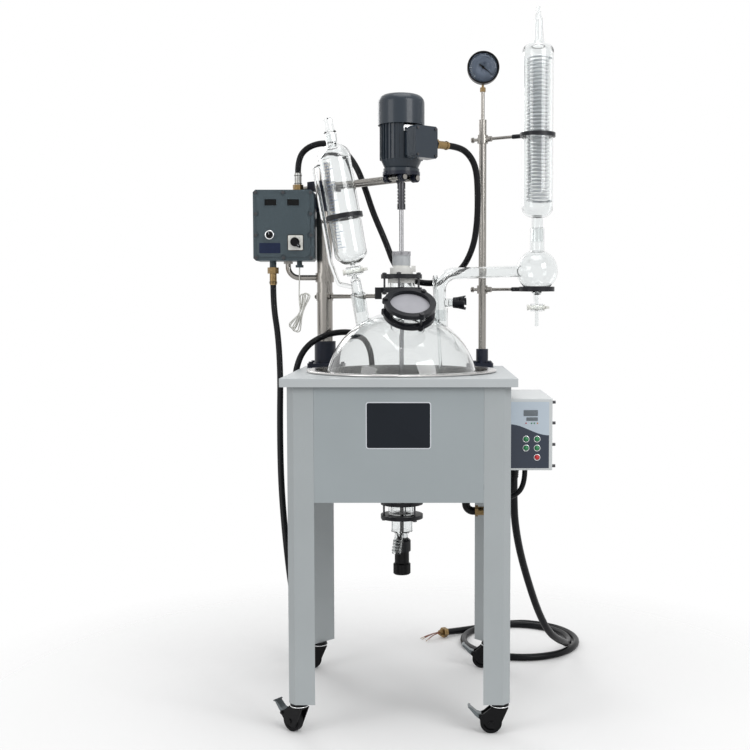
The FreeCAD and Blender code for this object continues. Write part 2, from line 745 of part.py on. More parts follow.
def holder_rods():
    """Ends of the three rods that carry the funnel ring, the bulb ring and the condenser ring."""
    spec = [(funnel_ring_at(), V(COLUMN_L.x, COLUMN_L.y, funnel_ring_at().z), FUNNEL_R, LEFT_OUTER_R),
            (V(BULB.x, BULB.y, BULB_RING_Z), V(COLUMN_R.x, COLUMN_R.y, BULB_RING_Z), JACKET_R, RIGHT_COL_R),
            (V(BULB.x, BULB.y, HOLD_RING_Z), V(COLUMN_R.x, COLUMN_R.y, HOLD_RING_Z), JACKET_R, RIGHT_COL_R)]
    rods = []
    for centre, column, r_ring, r_col in spec:
        way = (column - centre).normalize()
        rods.append((centre + way * (r_ring + RING_W + 16), column - way * (r_col + SEAT)))
    return rods


def funnel_ring_at():
    return LEFT_FOOT + left_axis() * FUNNEL_RING_AT


def boss_head(column, r_col, z, rod_a, rod_b):
    """Clamp round a column with a socket for the rod and a thumb screw opposite."""
    wall = BOSS_WALL_L if r_col > 20 else BOSS_WALL_R
    way = (rod_a - rod_b).normalize()
    at = V(column.x, column.y, z - BOSS_H / 2)
    body = cyl(r_col + wall, BOSS_H, at)
    centre = V(column.x, column.y, z)
    body = body.fuse(cyl(9, r_col + 20, centre, way))
    body = body.fuse(cyl(5, r_col + 22, centre, way * -1))
    body = body.fuse(cyl(9, 5, centre - way * (r_col + 22), way * -1))
    return body.cut(cyl(r_col + SEAT, BOSS_H * 3, at - UP * BOSS_H)).removeSplitter()


def support_rods():
    """Stainless rods, boss heads and the bent tube that carries the motor control box."""
    parts = []
    for s in (-1, 1):
        start = V(COLUMN_L.x, COLUMN_L.y, ARM_Z) + arm_side() * (s * ARM_SPREAD) - arm_axis() * 80
        length = V(COLUMN_L.x, COLUMN_L.y, 0).Length + 80 + 45
        parts.append(cyl(ARM_ROD_R, length, start, arm_axis()))
    a, b = neck_rod()
    parts += rod_with_boss(a, b, 7, COLUMN_L, LEFT_OUTER_R)
    for k, (a, b) in enumerate(holder_rods()):
        column, r_col = (COLUMN_L, LEFT_OUTER_R) if k == 0 else (COLUMN_R, RIGHT_COL_R)
        parts += rod_with_boss(a, b, HOLD_ROD_R, column, r_col)
    parts.append(box_bracket())
    return parts


def rod_with_boss(a, b, r, column, r_col):
    way = (b - a).normalize()
    rod = cyl(r, (b - a).Length - 24, a, way)
    boss = boss_head(column, r_col, a.z, a, b)
    return [rod.fuse(boss).removeSplitter()]


def box_bracket():
    """Bent tube from under the control box to a collar on the left column."""
    x = BOX_X + 104
    y = COLUMN_L.y
    start = V(x, y, BOX_Z)
    corner = V(x, y, BOX_Z - 53)
    end = V(COLUMN_L.x - LEFT_OUTER_R - 2, y, corner.z)
    path = route([start, corner, end], 36)
    bar = Part.Wire(path.Edges).makePipe(Part.Face(Part.Wire(Part.makeCircle(9, start, UP))))
    foot = hexagon(26, 8, start - UP * 8)
    collar = cyl(LEFT_OUTER_R + 5, 30, V(COLUMN_L.x, COLUMN_L.y, corner.z - 15))
    knob = cyl(8, 16, V(COLUMN_L.x, COLUMN_L.y - LEFT_OUTER_R - 3, corner.z), V(0, -1, 0))
    body = join([bar, foot, collar, knob])
    return body.cut(cyl(LEFT_OUTER_R + SEAT, 60, V(COLUMN_L.x, COLUMN_L.y, corner.z - 30)))


def holder_rings():
    """Rings round the funnel, under the bulb and round the condenser."""
    rods = holder_rods()
    rings = []
    tilt = left_axis()
    centre = funnel_ring_at()
    loop = tube(FUNNEL_R + RING_W, FUNNEL_R + SEAT, RING_H, centre - tilt * (RING_H / 2), tilt)
    rings.append(ring_with_lug(loop, centre, rods[0], FUNNEL_R))
    bulb_low = V(BULB.x, BULB.y, BULB_RING_Z)
    drop = BULB.z - (BULB_RING_Z + RING_H / 2)
    seat_r = math.sqrt((BULB_R + SEAT) ** 2 - drop ** 2)
    loop = tube(JACKET_R + RING_W, seat_r, RING_H, bulb_low - UP * (RING_H / 2))
    rings.append(ring_with_lug(loop, bulb_low, rods[1], JACKET_R))
    hold = V(BULB.x, BULB.y, HOLD_RING_Z)
    loop = tube(JACKET_R + RING_W, JACKET_R + SEAT, RING_H - 3, hold - UP * (RING_H / 2))
    rings.append(ring_with_lug(loop, hold, rods[2], JACKET_R))
    return rings


def ring_with_lug(loop, centre, rod, r_in):
    way = (rod[1] - rod[0]).normalize()
    lug = cyl(RING_H / 2 - 0.5, 34, centre + way * (r_in + RING_W - 1), way)
    body = loop.fuse(lug).cut(cyl(HOLD_ROD_R + SEAT, 60, rod[0] - way * 2, way))
    return body.removeSplitter()


def columns():
    left = tube(LEFT_OUTER_R, LEFT_INNER_R + SEAT, LEFT_OUTER_TOP - TOP_Z - BASE_PLATE_T,
                COLUMN_L + V(0, 0, TOP_Z + BASE_PLATE_T))
    inner = cyl(LEFT_INNER_R, LEFT_INNER_TOP - TOP_Z - BASE_PLATE_T, COLUMN_L + V(0, 0, TOP_Z + BASE_PLATE_T))
    right = cyl(RIGHT_COL_R, RIGHT_COL_TOP - TOP_Z - BASE_PLATE_T, COLUMN_R + V(0, 0, TOP_Z + BASE_PLATE_T))
    stem = cyl(6, GAUGE_Z - GAUGE_R - 22 - RIGHT_COL_TOP, COLUMN_R + V(0, 0, RIGHT_COL_TOP))
    return [left, inner, join([right, stem])]


def column_base(column, r_col, r_out, top, half):
    z = TOP_Z
    foot = box(column.x - half, column.x + half, column.y - half, column.y + half, z, z + BASE_PLATE_T)
    foot = foot.makeFillet(12, [e for e in foot.Edges if abs(e.tangentAt(0).z) > 0.9])
    foot = foot.cut(cyl(RIM_R + RIM_BEAD + 2, 60, V(0, 0, z)))
    sleeve = tube(r_out, r_col + SEAT, top - z - BASE_PLATE_T, column + V(0, 0, z + BASE_PLATE_T))
    for sx in (-1, 1):
        for sy in (-1, 1):
            at = column + V(sx * (half - 12), sy * (half - 12), z + BASE_PLATE_T)
            if V(at.x, at.y, 0).Length > RIM_R + RIM_BEAD + 16:
                foot = foot.fuse(hexagon(13, 6, at))
    return join([foot, sleeve])


def column_castings():
    """Two flanged bases and the head that clamps the motor arm to the left column."""
    left = column_base(COLUMN_L, LEFT_OUTER_R, BASE_L_R, TOP_Z + BASE_L_H, 55)
    right = column_base(COLUMN_R, RIGHT_COL_R, BASE_R_R, TOP_Z + BASE_R_H, 36)
    sleeve = cyl(27.3, ARM_Z - 12 - LEFT_OUTER_TOP - SEAT, COLUMN_L + V(0, 0, LEFT_OUTER_TOP + SEAT))
    f = arm_axis()
    s = arm_side()
    w = ARM_SPREAD + ARM_ROD_R + 9
    z = BOX_Z + BOX_H + 1
    outline = [(-w, -34), (w, -34), (w, 34), (-w, 34)]
    head = plate(outline, ARM_Z + 17 - z, COLUMN_L + V(0, 0, z), s, UP.cross(s))
    arm = join([sleeve, head])
    for k in (-1, 1):
        rod_at = COLUMN_L + V(0, 0, ARM_Z) + s * (k * ARM_SPREAD) - f * 100
        arm = arm.cut(cyl(ARM_ROD_R + SEAT, 200, rod_at, f))
    arm = arm.cut(cyl(LEFT_INNER_R + SEAT, 300, COLUMN_L + V(0, 0, LEFT_OUTER_TOP - 50)))
    lug_z = LEFT_OUTER_TOP + 30
    lug = box(BOX_X + BOX_W - 26, COLUMN_L.x - 24, BOX_Y + 52, BOX_Y + 78, lug_z - 20, lug_z + 16)
    lug = lug.cut(cyl(LEFT_INNER_R + SEAT, 300, COLUMN_L + V(0, 0, LEFT_OUTER_TOP - 50)))
    lug = lug.cut(box(BOX_X, BOX_X + BOX_W, BOX_Y, BOX_Y + BOX_D, BOX_Z, BOX_Z + BOX_H))
    return [left, right, join([arm, lug])]


def vapour_path():
    way = V(BULB.x - RIGHT_NECK_X, BULB.y, BULB.z - VAPOUR_Z).normalize()
    return [V(RIGHT_NECK_X, 0, RIGHT_NECK_TOP - 34), V(RIGHT_NECK_X, 0, VAPOUR_Z), BULB - way * 20]


def pipe_between(points, r, radius):
    path = route(points, radius)
    first = (points[1] - points[0]).normalize()
    return Part.Wire(path.Edges).makePipe(Part.Face(Part.Wire(Part.makeCircle(r, points[0], first))))


WELL_TOP = V(103.5, 0, 1313)
WELL_AXIS = V(-8, 0, 130).normalize()
WELL_LEN = 400.0


def vapour_tube():
    """Elbow from the right neck, arm and bulb, with the condenser's cup above and a drain below."""
    g = THIN_GLASS
    points = vapour_path()
    outer = pipe_between(points, ARM_R, VAPOUR_BEND)
    bore_points = [points[0] - UP * 1, points[1], points[2]]
    bore = pipe_between(bore_points, ARM_R - g, VAPOUR_BEND)
    x = RIGHT_NECK_X
    cone_r = RIGHT_NECK_R - 3.5 - SEAT
    cone = cyl(cone_r, 34, points[0])
    collar = cyl(RIGHT_NECK_R + 1, 6, V(x, 0, RIGHT_NECK_TOP + SEAT))
    port = cyl(9, 74, WELL_TOP - WELL_AXIS * 74, WELL_AXIS)
    side = cyl(SIDE_PORT_R, SIDE_PORT_L, V(x, 0, SIDE_PORT_Z), side_port_axis())
    cup = cyl(CUP_R, CUP_TOP - BULB.z - 60, V(BULB.x, BULB.y, BULB.z + 60))
    drain = lathe([(0, 1238), (9, 1238), (12, 1262), (19, 1276), (0, 1290)], V(BULB.x, BULB.y, 0))
    barrel = cyl(12, TAP_L, V(BULB.x - TAP_L / 2, BULB.y, TAP_Z), RIGHT)
    spout = cyl(6.5, 1240 - TIP_Z, V(BULB.x, BULB.y, TIP_Z))
    whole = join([outer, cone, collar, port, side, Part.makeSphere(BULB_R, BULB), cup, drain, barrel, spout])
    inner_side = cyl(SIDE_PORT_R - g, 60, V(x, 0, SIDE_PORT_Z), side_port_axis())
    inner = [bore, Part.makeSphere(BULB_R - g, BULB), cyl(CUP_R - g, 200, V(BULB.x, BULB.y, BULB.z + 40)),
             cyl(WELL_R + SEAT, 200, WELL_TOP - WELL_AXIS * 150, WELL_AXIS), inner_side,
             cyl(4, 140, V(BULB.x, BULB.y, TIP_Z - 1)),
             cyl(KEY_R + RUN, TAP_L + 2, V(BULB.x - TAP_L / 2 - 1, BULB.y, TAP_Z), RIGHT)]
    for cutter in inner:
        whole = whole.cut(cutter)
    return whole.removeSplitter()


SIDE_PORT_Z = 1236.0
SIDE_PORT_R = 13.0
SIDE_PORT_L = 48.0
WELL_R = 5.0
TAP_Z = 1221.0
TAP_L = 40.0
TIP_Z = 1161.0


def side_port_axis():
    return unit(78)


def tap_key(at, axis, length):
    """Stopcock key: tapered plug, shoulder and a flat grip, made along +Z from the barrel's face."""
    plug = cyl(KEY_R, length + 6, V(0, 0, -length - 6))
    nut = cyl(9, 5, V(0, 0, -length - 11))
    shoulder = cyl(10, 5, V(0, 0, SEAT))
    neck = cyl(5, 8, V(0, 0, 4))
    grip = box(-4, 4, -15, 15, 9, 19)
    body = join([plug, nut, shoulder, neck, cyl(KEY_R, 2, V(0, 0, -1)), grip])
    bore = cyl(3, 40, V(0, -20, -length / 2), BACK)
    return place(body.cut(bore), at, axis)


def bulb_tap_key():
    return tap_key(V(BULB.x + TAP_L / 2, BULB.y, TAP_Z), RIGHT, TAP_L)


def condenser():
    """Jacket with its ground cone below and its tapered top connection."""
    g = THIN_GLASS
    x = BULB.x
    y = BULB.y
    stem = CUP_R - g - SEAT
    high = JACKET_TOP
    tip = CONDENSER_TOP
    shell = lathe([(stem - g, CUP_LOW + 2), (stem, CUP_LOW + 2), (stem, CUP_TOP + 1), (18, CUP_TOP + 2),
                   (18, 1508), (JACKET_R, JACKET_LOW, 10), (JACKET_R, high - 20), (22, high + 8, 10),
                   (17, high + 20), (14, tip - 40), (7, tip - 22), (9, tip - 10), (6, tip), (VENT_R, tip),
                   (VENT_R, tip - 22), (14 - g, tip - 42), (17 - g, high + 18), (19, high + 5),
                   (JACKET_R - g, high - 22, -9), (JACKET_R - g, JACKET_LOW + 2), (18 - g, 1512, -9),
                   (18 - g, CUP_TOP)], V(x, y, 0))
    return shell


def condenser_coil():
    """Outer form of the close-wound cooling coil, with its two ends that reach the jacket."""
    at = V(BULB.x, BULB.y, COIL_LOW)
    sleeve = tube(COIL_R + COIL_WIRE, COIL_R - COIL_WIRE, COIL_TOP - COIL_LOW, at)
    reach = JACKET_R - THIN_GLASS - COIL_SHY - COIL_R
    ends = [cyl(COIL_WIRE, reach, V(BULB.x + COIL_R, BULB.y, z), RIGHT) for z in (COIL_LOW + 8, COIL_TOP - 8)]
    return join([sleeve] + ends)


def addition_funnel():
    """Graduated funnel with its stopcock barrel, ground stem and pressure side tube."""
    g = THIN_GLASS
    t = FUNNEL_TOP
    r = FUNNEL_R
    low = FUNNEL_LOW
    cone = LEFT_NECK_R - 3.5 - SEAT
    body = lathe([(0, 24), (cone - 4, 24), (cone, LEFT_NECK_LEN), (24, LEFT_NECK_LEN + SEAT),
                  (24, LEFT_NECK_LEN + 5), (17, LEFT_NECK_LEN + 12), (15, 124), (FUNNEL_STEM, 138),
                  (FUNNEL_STEM, low - 8), (r - 12, low + 8, 4), (r, low + 34, 5), (r, t - 44),
                  (18, t - 2, 12), (17, t + 6), (19, t + 32), (0, t + 32)])
    barrel = cyl(COCK_R, COCK_L, V(-COCK_L / 2, 0, COCK_AT), RIGHT)
    arm = [V(-r + 6, 0, t - 62), V(-SIDE_TUBE, 0, t - 50), V(-SIDE_TUBE, 0, 190), V(-52, 0, 120),
           V(-10, 0, 104)]
    whole = join([body, barrel, pipe_between(arm, SIDE_TUBE_R, 12)])
    hollow = lathe([(0, low + 2), (FUNNEL_STEM - g, low), (r - 14, low + 12, 4), (r - g, low + 36, 4),
                    (r - g, t - 46), (16, t - 7, 11), (15, t + 32), (0, t + 32)])
    foot = lathe([(0, 24), (cone - 4 - g, 24), (cone - g, LEFT_NECK_LEN), (13, 118), (0, 126)])
    whole = whole.cut(hollow).cut(foot).cut(cyl(3, 60, V(0, 0, 124)))
    whole = whole.cut(cyl(KEY_R + RUN, COCK_L + 2, V(-COCK_L / 2 - 1, 0, COCK_AT), RIGHT))
    return place(whole.removeSplitter(), LEFT_FOOT, left_axis())


def on_funnel(shape):
    return place(shape, LEFT_FOOT, left_axis())


def funnel_key():
    return on_funnel(tap_key(V(COCK_L / 2, 0, COCK_AT), RIGHT, COCK_L))


def glass_fittings():
    """Funnel stopper, thermometer well, side-port stopper and the manhole's glass cover."""
    t = FUNNEL_TOP
    stopper = lathe([(0, t + 10), (14.6, t + 10), (14.6, t + 36), (20, t + 38), (15, t + 44), (13, t + 66),
                     (14, t + 80), (0, t + 80)])
    foot = WELL_TOP - WELL_AXIS * WELL_LEN
    head = cyl(7.5, 6, WELL_TOP + WELL_AXIS * SEAT, WELL_AXIS)
    well = join([cyl(WELL_R, WELL_LEN + 2, foot, WELL_AXIS), head, Part.makeSphere(WELL_R, foot)])
    n = side_port_axis()
    mouth = V(RIGHT_NECK_X, 0, SIDE_PORT_Z) + n * SIDE_PORT_L
    bore = SIDE_PORT_R - THIN_GLASS - SEAT
    plug = join([cyl(bore, 24, mouth - n * 20, n), cyl(SIDE_PORT_R, 6, mouth + n * SEAT, n),
                 cyl(7, 16, mouth + n * 5, n)])
    cover_at = ball_centre() + port_axis() * (PORT_TOP + SEAT)
    cover = cyl(PORT_FLANGE_R, PORT_COVER_T, cover_at, port_axis())
    return [on_funnel(stopper), well, plug, cover]


def gauge_case():
    z = GAUGE_Z
    at = V(COLUMN_R.x, COLUMN_R.y - 14, z)
    front = V(0, -1, 0)
    body = cyl(GAUGE_R, GAUGE_T, at + BACK * 12, front)
    body = body.cut(cyl(GAUGE_R - 4, 7, at + BACK * 12 + front * (GAUGE_T - 6), front))
    hub = cyl(2, 5, at + BACK * 12 + front * (GAUGE_T - 7), front)
    return join([body, hub])


def gauge_needle():
    at = V(COLUMN_R.x, COLUMN_R.y - 14, GAUGE_Z) + V(0, 12 - GAUGE_T + 4.2, 0)
    pivot = cyl(5, 1.6, at + BACK * 1.2, V(0, -1, 0))
    blade = plate([(-16, -2.5), (36, -0.8), (36, 0.8), (-16, 2.5)], 1.2, at + BACK * 1.0, RIGHT, UP)
    needle = join([pivot, blade]).cut(cyl(2 + RUN, 20, at + BACK * 8, V(0, -1, 0)))
    return turned(needle, GAUGE_REST, at, BACK)


GAUGE_REST = 38.0


def lid_outline(w, h, c):
    return [(c, 0), (w - c, 0), (w, c), (w, h - c), (w - c, h), (c, h), (0, h - c), (0, c)]


def lid_bolt_places():
    e = 9.0
    w = BOX_W
    h = BOX_H
    return [(e, e), (w - e, e), (e, h - e), (w - e, h - e), (w / 2, h - e), (w / 2, e), (e, h * 0.36),
            (e, h * 0.66), (w - e, h * 0.36), (w - e, h * 0.66)]


def control_box():
    """Cast case with two stubs below, and its bolted lid with a raised field, windows and switch holes."""
    o = V(BOX_X, BOX_Y, BOX_Z)
    case = plate(lid_outline(BOX_W, BOX_H, 8), BOX_D - LID_T, o + BACK * BOX_D, RIGHT, UP)
    lid = plate(lid_outline(BOX_W, BOX_H, 8), LID_T - SEAM, o + BACK * (LID_T - SEAM), RIGHT, UP)
    inner = lid_outline(BOX_W - 2 * LID_BAND, BOX_H - 2 * LID_BAND, 10)
    raised = plate([(LID_BAND + x, LID_BAND + y) for x, y in inner], RIB, o, RIGHT, UP)
    for x, y in lid_bolt_places():
        raised = raised.cut(cyl(LID_NOTCH, 20, o + V(x, 8, y), V(0, -1, 0)))
    lid = lid.fuse(raised).removeSplitter()
    low = o.z + WINDOW_Z
    for x in WINDOWS_X:
        lid = lid.cut(box(o.x + x, o.x + x + WINDOW_W, o.y - 5, o.y + 1, low, low + WINDOW_H))
    for at in (speed_at(), selector_at()):
        lid = lid.cut(cyl(4 + RUN, 60, at + BACK * 12, V(0, -1, 0)))
    stubs = [cyl(11, LEFT_STUB, V(LEFT_GLAND.x, LEFT_GLAND.y, BOX_Z - LEFT_STUB)),
             cyl(8.5, 12, V(WIRE_FOOT.x, WIRE_FOOT.y, BOX_Z - 12)),
             cyl(13, 8, V(WIRE_FOOT.x, WIRE_FOOT.y, BOX_Z - 20))]
    return [join([case] + stubs), lid]


def speed_at():
    return V(BOX_X + 53, BOX_Y - RIB, BOX_Z + 83)


def selector_at():
    return V(BOX_X + 136, BOX_Y - RIB, BOX_Z + 60)


def knob_stem(at):
    return cyl(4, 12 + SEAT, at + BACK * 12, V(0, -1, 0))


def speed_knob():
    at = speed_at()
    return join([cyl(9, 13, at - BACK * 2, V(0, -1, 0)), knob_stem(at), cyl(4, 4, at, V(0, -1, 0))])


def selector_knob():
    """Rotary switch: round boss and a lever that points to the lower right at rest."""
    at = selector_at()
    boss = cyl(14.5, 9, at - BACK * 3, V(0, -1, 0))
    outline = [(-8, -7), (18, -5.5), (26, -3), (26, 3), (18, 5.5), (-8, 7)]
    lever = plate(outline, 10, at - BACK * 11, RIGHT, UP)
    return join([boss, turned(lever, 45, at, BACK), knob_stem(at), cyl(4, 5, at, V(0, -1, 0))])


def fasteners():
    return clamp_bolts() + cover_screws()


def cover_screws():
    """Lid bolts of the control box, side bolts of the bath box and terminal lid screws."""
    screws = []
    for x, y in lid_bolt_places():
        screws.append(cyl(5, 6, V(BOX_X + x, BOX_Y, BOX_Z + y), V(0, -1, 0)))
    x = FRAME / 2 + BATH_W
    for z in (0.06, 0.36, 0.66, 0.95):
        screws.append(cyl(4.5, 9, V(x, BATH_Y + 6, BATH_Z + BATH_H * z), RIGHT))
    n = unit(TERMINAL_TURN)
    side = unit(TERMINAL_TURN + 90)
    mid = V(0, 0, motor_z() + 10 + MOTOR_BELL + MOTOR_FINNED / 2 - 14) + n * (TERMINAL_FACE - 0.5)
    for sx in (-1, 1):
        for sz in (-1, 1):
            at = mid + side * (sx * (TERMINAL_W / 2 - 8)) + UP * (sz * (TERMINAL_H / 2 - 8))
            screws.append(cyl(4, 3, at, n))
    return screws


def bath_controller():
    """Deep folded case against the right apron panel, with a framed front cover."""
    x = FRAME / 2
    case = box(x, x + BATH_W, BATH_Y + COVER_T, BATH_Y + BATH_D, BATH_Z, BATH_Z + BATH_H)
    cover = box(x, x + BATH_W, BATH_Y, BATH_Y + COVER_T - SEAM, BATH_Z, BATH_Z + BATH_H)
    cover = cover.makeFillet(2.5, [e for e in cover.Edges if e.BoundBox.YMax < BATH_Y + 0.01])
    for bx, bz in BUTTONS.values():
        cover = cover.cut(cyl(BUTTON_R + SEAT, COVER_T, V(bx, BATH_Y, bz), BACK))
    feet = [cyl(9, 14, V(px, py, BATH_Z - 14)) for px, py in bath_gland_places()]
    return [join([case] + feet), cover]


def bath_gland_places():
    return [(HEATER_CORD[0].x, HEATER_CORD[0].y), (MAINS_DROP[0].x, MAINS_DROP[0].y)]


def button(at_x, at_z):
    """Domed push button in its hole."""
    ball = (BUTTON_R ** 2 + BUTTON_DOME ** 2) / (2 * BUTTON_DOME)
    top = BUTTON_OUT + BUTTON_DOME
    dome = cyl(BUTTON_R, top).common(Part.makeSphere(ball, V(0, 0, top - ball)))
    return place(dome, V(at_x, BATH_Y + BUTTON_TRAVEL + 1, at_z), V(0, -1, 0))


def gland(at, axis, r_hex, h_hex, r_tail, h_tail):
    """Hexagon body with a ridged tail."""
    tail_at = at + axis * h_hex
    collar = cyl(r_hex + 1, 3, at + axis * (h_hex * 0.4), axis)
    bead = cyl(r_tail + 1.5, 3, tail_at + axis * (h_tail - 8), axis)
    return join([hexagon(2 * r_hex, h_hex, at, axis), collar, cyl(r_tail, h_tail, tail_at, axis), bead])


def brass_fittings():
    """Cable glands, the drain plug and the gauge's stem."""
    down = V(0, 0, -1)
    parts = [gland(V(LEFT_GLAND.x, LEFT_GLAND.y, BOX_Z - LEFT_STUB), down, 16, 20, 11.5, 37),
             gland(V(TOP_GLAND.x, TOP_GLAND.y, BOX_Z + BOX_H), UP, 15, 21, 11.5, 38),
             gland(motor_gland_foot(), motor_gland_axis(), 14, 20, 12, 40)]
    drain_end = DRAIN_AT + V(27, 0, PAN_LOW - DRAIN_DROP)
    parts.append(join([hexagon(30, 9, drain_end, RIGHT), cyl(13, 24, drain_end + RIGHT * 9, RIGHT),
                       hexagon(20, 7, drain_end + RIGHT * 33, RIGHT)]))
    low = COLUMN_R + V(0, 0, GAUGE_Z - GAUGE_R - 22)
    parts.append(join([hexagon(16, 14, low), cyl(4, 8.2, low + UP * 14)]).cut(
        cyl(GAUGE_R + SEAT, 80, V(COLUMN_R.x, COLUMN_R.y + 40, GAUGE_Z), V(0, -1, 0))))
    return parts


def motor_gland_axis():
    return unit(TERMINAL_TURN + 90)


def motor_gland_foot():
    mid = V(0, 0, motor_z() + 10 + MOTOR_BELL + MOTOR_FINNED / 2 - 14)
    forward = unit(TERMINAL_TURN) * (TERMINAL_FACE - TERMINAL_D / 2 - 6)
    return mid + forward + motor_gland_axis() * (TERMINAL_W / 2)


def discharge_neck():
    """Glass valve body under the outlet: flange, belly and threaded spout."""
    top = LOW_NECK_END - SEAT
    belly = lathe([(VALVE_STEM_R + 2, top), (FLANGE_R, top), (FLANGE_R, top - FLANGE_T),
                   (LOW_NECK_R, top - FLANGE_T), (LOW_NECK_R, VALVE_NECK_LOW), (19, VALVE_COLLAR_TOP + 4, 5),
                   (19, VALVE_COLLAR_LOW + 6), (VALVE_STEM_R + 2, VALVE_COLLAR_LOW + 6)])
    chamber = lathe([(0, top), (LOW_NECK_R - GLASS, top), (LOW_NECK_R - GLASS, VALVE_NECK_LOW + 2),
                     (13, VALVE_COLLAR_TOP + 12, 4), (0, VALVE_COLLAR_TOP + 12)])
    way = (V(-17, -54, 459) - V(-5, -14, 534)).normalize()
    mouth = V(-5, -14, 534)
    spout = cyl(14.2, SPOUT_LEN, mouth, way)
    bore = cyl(10.8, SPOUT_LEN + 2, mouth, way)
    whole = belly.fuse(spout).cut(chamber).cut(bore)
    return whole.cut(cyl(VALVE_STEM_R + RUN, 200, V(0, 0, VALVE_COLLAR_LOW))).removeSplitter()


def discharge_handle():
    """Fluted knob, its sleeve, and the long stem whose plug closes the outlet."""
    low = VALVE_HANDLE_LOW
    top = VALVE_COLLAR_LOW - 1
    knob = lathe([(0, low), (24, low), (27, low + 3), (27, low + 32), (22.5, low + 36), (22.5, top),
                  (0, top)])
    for k in range(12):
        knob = knob.cut(turned(cyl(2.2, 30, V(28, 0, low + 2)), 30 * k))
    stem = cyl(VALVE_STEM_R, 690 - low - 20, V(0, 0, low + 20))
    bore = LOW_NECK_R - GLASS - SEAT
    plug = lathe([(0, 690), (bore - 6, 690), (bore, 700), (bore, 718), (bore - 8, 726), (0, 726)])
    return join([knob, stem, plug])


def discharge_collar():
    """Fixed nut that holds the valve stem's packing, part of the outlet's seals."""
    low = VALVE_COLLAR_LOW
    nut = lathe([(VALVE_STEM_R + 0.1, low - 0.5), (COLLAR_R, low - 0.5), (COLLAR_R, VALVE_COLLAR_TOP - 5),
                 (COLLAR_R - 4, VALVE_COLLAR_TOP), (19 + SEAT, VALVE_COLLAR_TOP), (19 + SEAT, low + 5.7),
                 (VALVE_STEM_R + 0.1, low + 5.7)])
    way = (V(-17, -54, 459) - V(-5, -14, 534)).normalize()
    return nut.cut(cyl(14.2 + SEAT, 100, V(-5, -14, 534), way))


def port_clip():
    """Slotted clip that holds the stopper on the side port."""
    n = side_port_axis()
    r = SIDE_PORT_R + SEAT
    sleeve = lathe([(r, 0), (r + 3, 0), (r + 4, 12), (r + 9, 37), (r + 5.5, 37), (r, 16)])
    for k in range(4):
        sleeve = sleeve.cut(turned(box(4, 40, -5, 5, 20, 40), 45 + 90 * k))
    return place(sleeve, V(RIGHT_NECK_X, 0, SIDE_PORT_Z) + n * (SIDE_PORT_L - 6), n)


def castor_places():
    return {"fl": V(-CASTOR_AT, -CASTOR_AT, 0), "fr": V(CASTOR_AT, -CASTOR_AT, 0),
            "rl": V(-CASTOR_AT, CASTOR_AT, 0), "rr": V(CASTOR_AT, CASTOR_AT, 0)}


def castor_top(at):
    """Fixed upper race with its king pin."""
    low = LEG_FOOT - 11
    head = lathe([(0, LEG_FOOT), (24, LEG_FOOT), (26.5, LEG_FOOT - 4), (26.5, low), (5, low), (5, 66),
                  (0, 66)])
    head.translate(at)
    return head


def castor_fork():
    """Lower race and two cheeks, trailing along -X, with the axle and the brake's pivot."""
    race = lathe([(5 + RUN, 76), (25.5, 76), (25.5, LEG_FOOT - 11.3), (5 + RUN, LEG_FOOT - 11.3)])
    side = [(24, 77), (-2, 19), (-14, 14), (-36, 20), (-60, 46), (-60, 55), (-46, 60), (-26, 77)]
    cheeks = []
    for y in (-16, 13):
        cheeks.append(plate(side, -3, V(0, y, 0), RIGHT, UP))
    web = box(-24, 22, -16, 16, 73, 77).cut(cyl(5 + RUN, 20, V(0, 0, 60)))
    axle = cyl(4, 32, V(-TRAIL, -16, WHEEL_R), BACK)
    pivot = cyl(3, 32, V(PEDAL_X, -16, PEDAL_Z), BACK)
    caps = [cyl(7, 2.5, V(-TRAIL, y, WHEEL_R), BACK) for y in (-18.5, 16)]
    caps += [cyl(5, 2.5, V(PEDAL_X, y, PEDAL_Z), BACK) for y in (-18.5, 16)]
    return join([race, web, axle, pivot] + cheeks + caps)


PEDAL_X = -56.0
PEDAL_Z = 50.0


def castor_wheel():
    """Rounded tread on a hub, about the axle."""
    w = WHEEL_W / 2
    profile = [(4 + RUN, -w + 2), (9, -w + 2), (11, -w + 4), (19, -w + 4), (22, -w), (WHEEL_R - 3, -w),
               (WHEEL_R, -w + 4, 1), (WHEEL_R, w - 4), (WHEEL_R - 3, w, 1), (22, w), (19, w - 4), (11, w - 4),
               (9, w - 2), (4 + RUN, w - 2)]
    return lathe(profile, V(-TRAIL, 0, WHEEL_R), BACK)


def castor_pedal():
    """Pressed brake lever that pivots between the fork's cheeks."""
    side = [(-88, 81), (-92, 78), (-72, 54), (-62, 45), (-56, 44.5), (-51.8, 50), (-53, 58), (-66, 62)]
    lever = plate(side, -22, V(0, -11, 0), RIGHT, UP)
    lip = plate([(-92, 78), (-88, 81), (-84, 78.5), (-88, 75)], -32, V(0, -16, 0), RIGHT, UP)
    return join([lever, lip]).cut(cyl(3 + RUN, 60, V(PEDAL_X, -30, PEDAL_Z), BACK))


def castor(part, key):
    shape = turned(part(), CASTOR_TURN[key])
    shape.translate(castor_places()[key])
    return shape


REAR_GLAND_X = -112.0
REAR_GLAND_Y = 360.0
REAR_GLAND_Z = 935.0
REAR_GLAND_H = 45.0
TOP_GLAND = V(-344, 245, 1659)
LEFT_GLAND = V(-428, 245, 1295)
WIRE_FOOT = V(-341, 245, 1352)

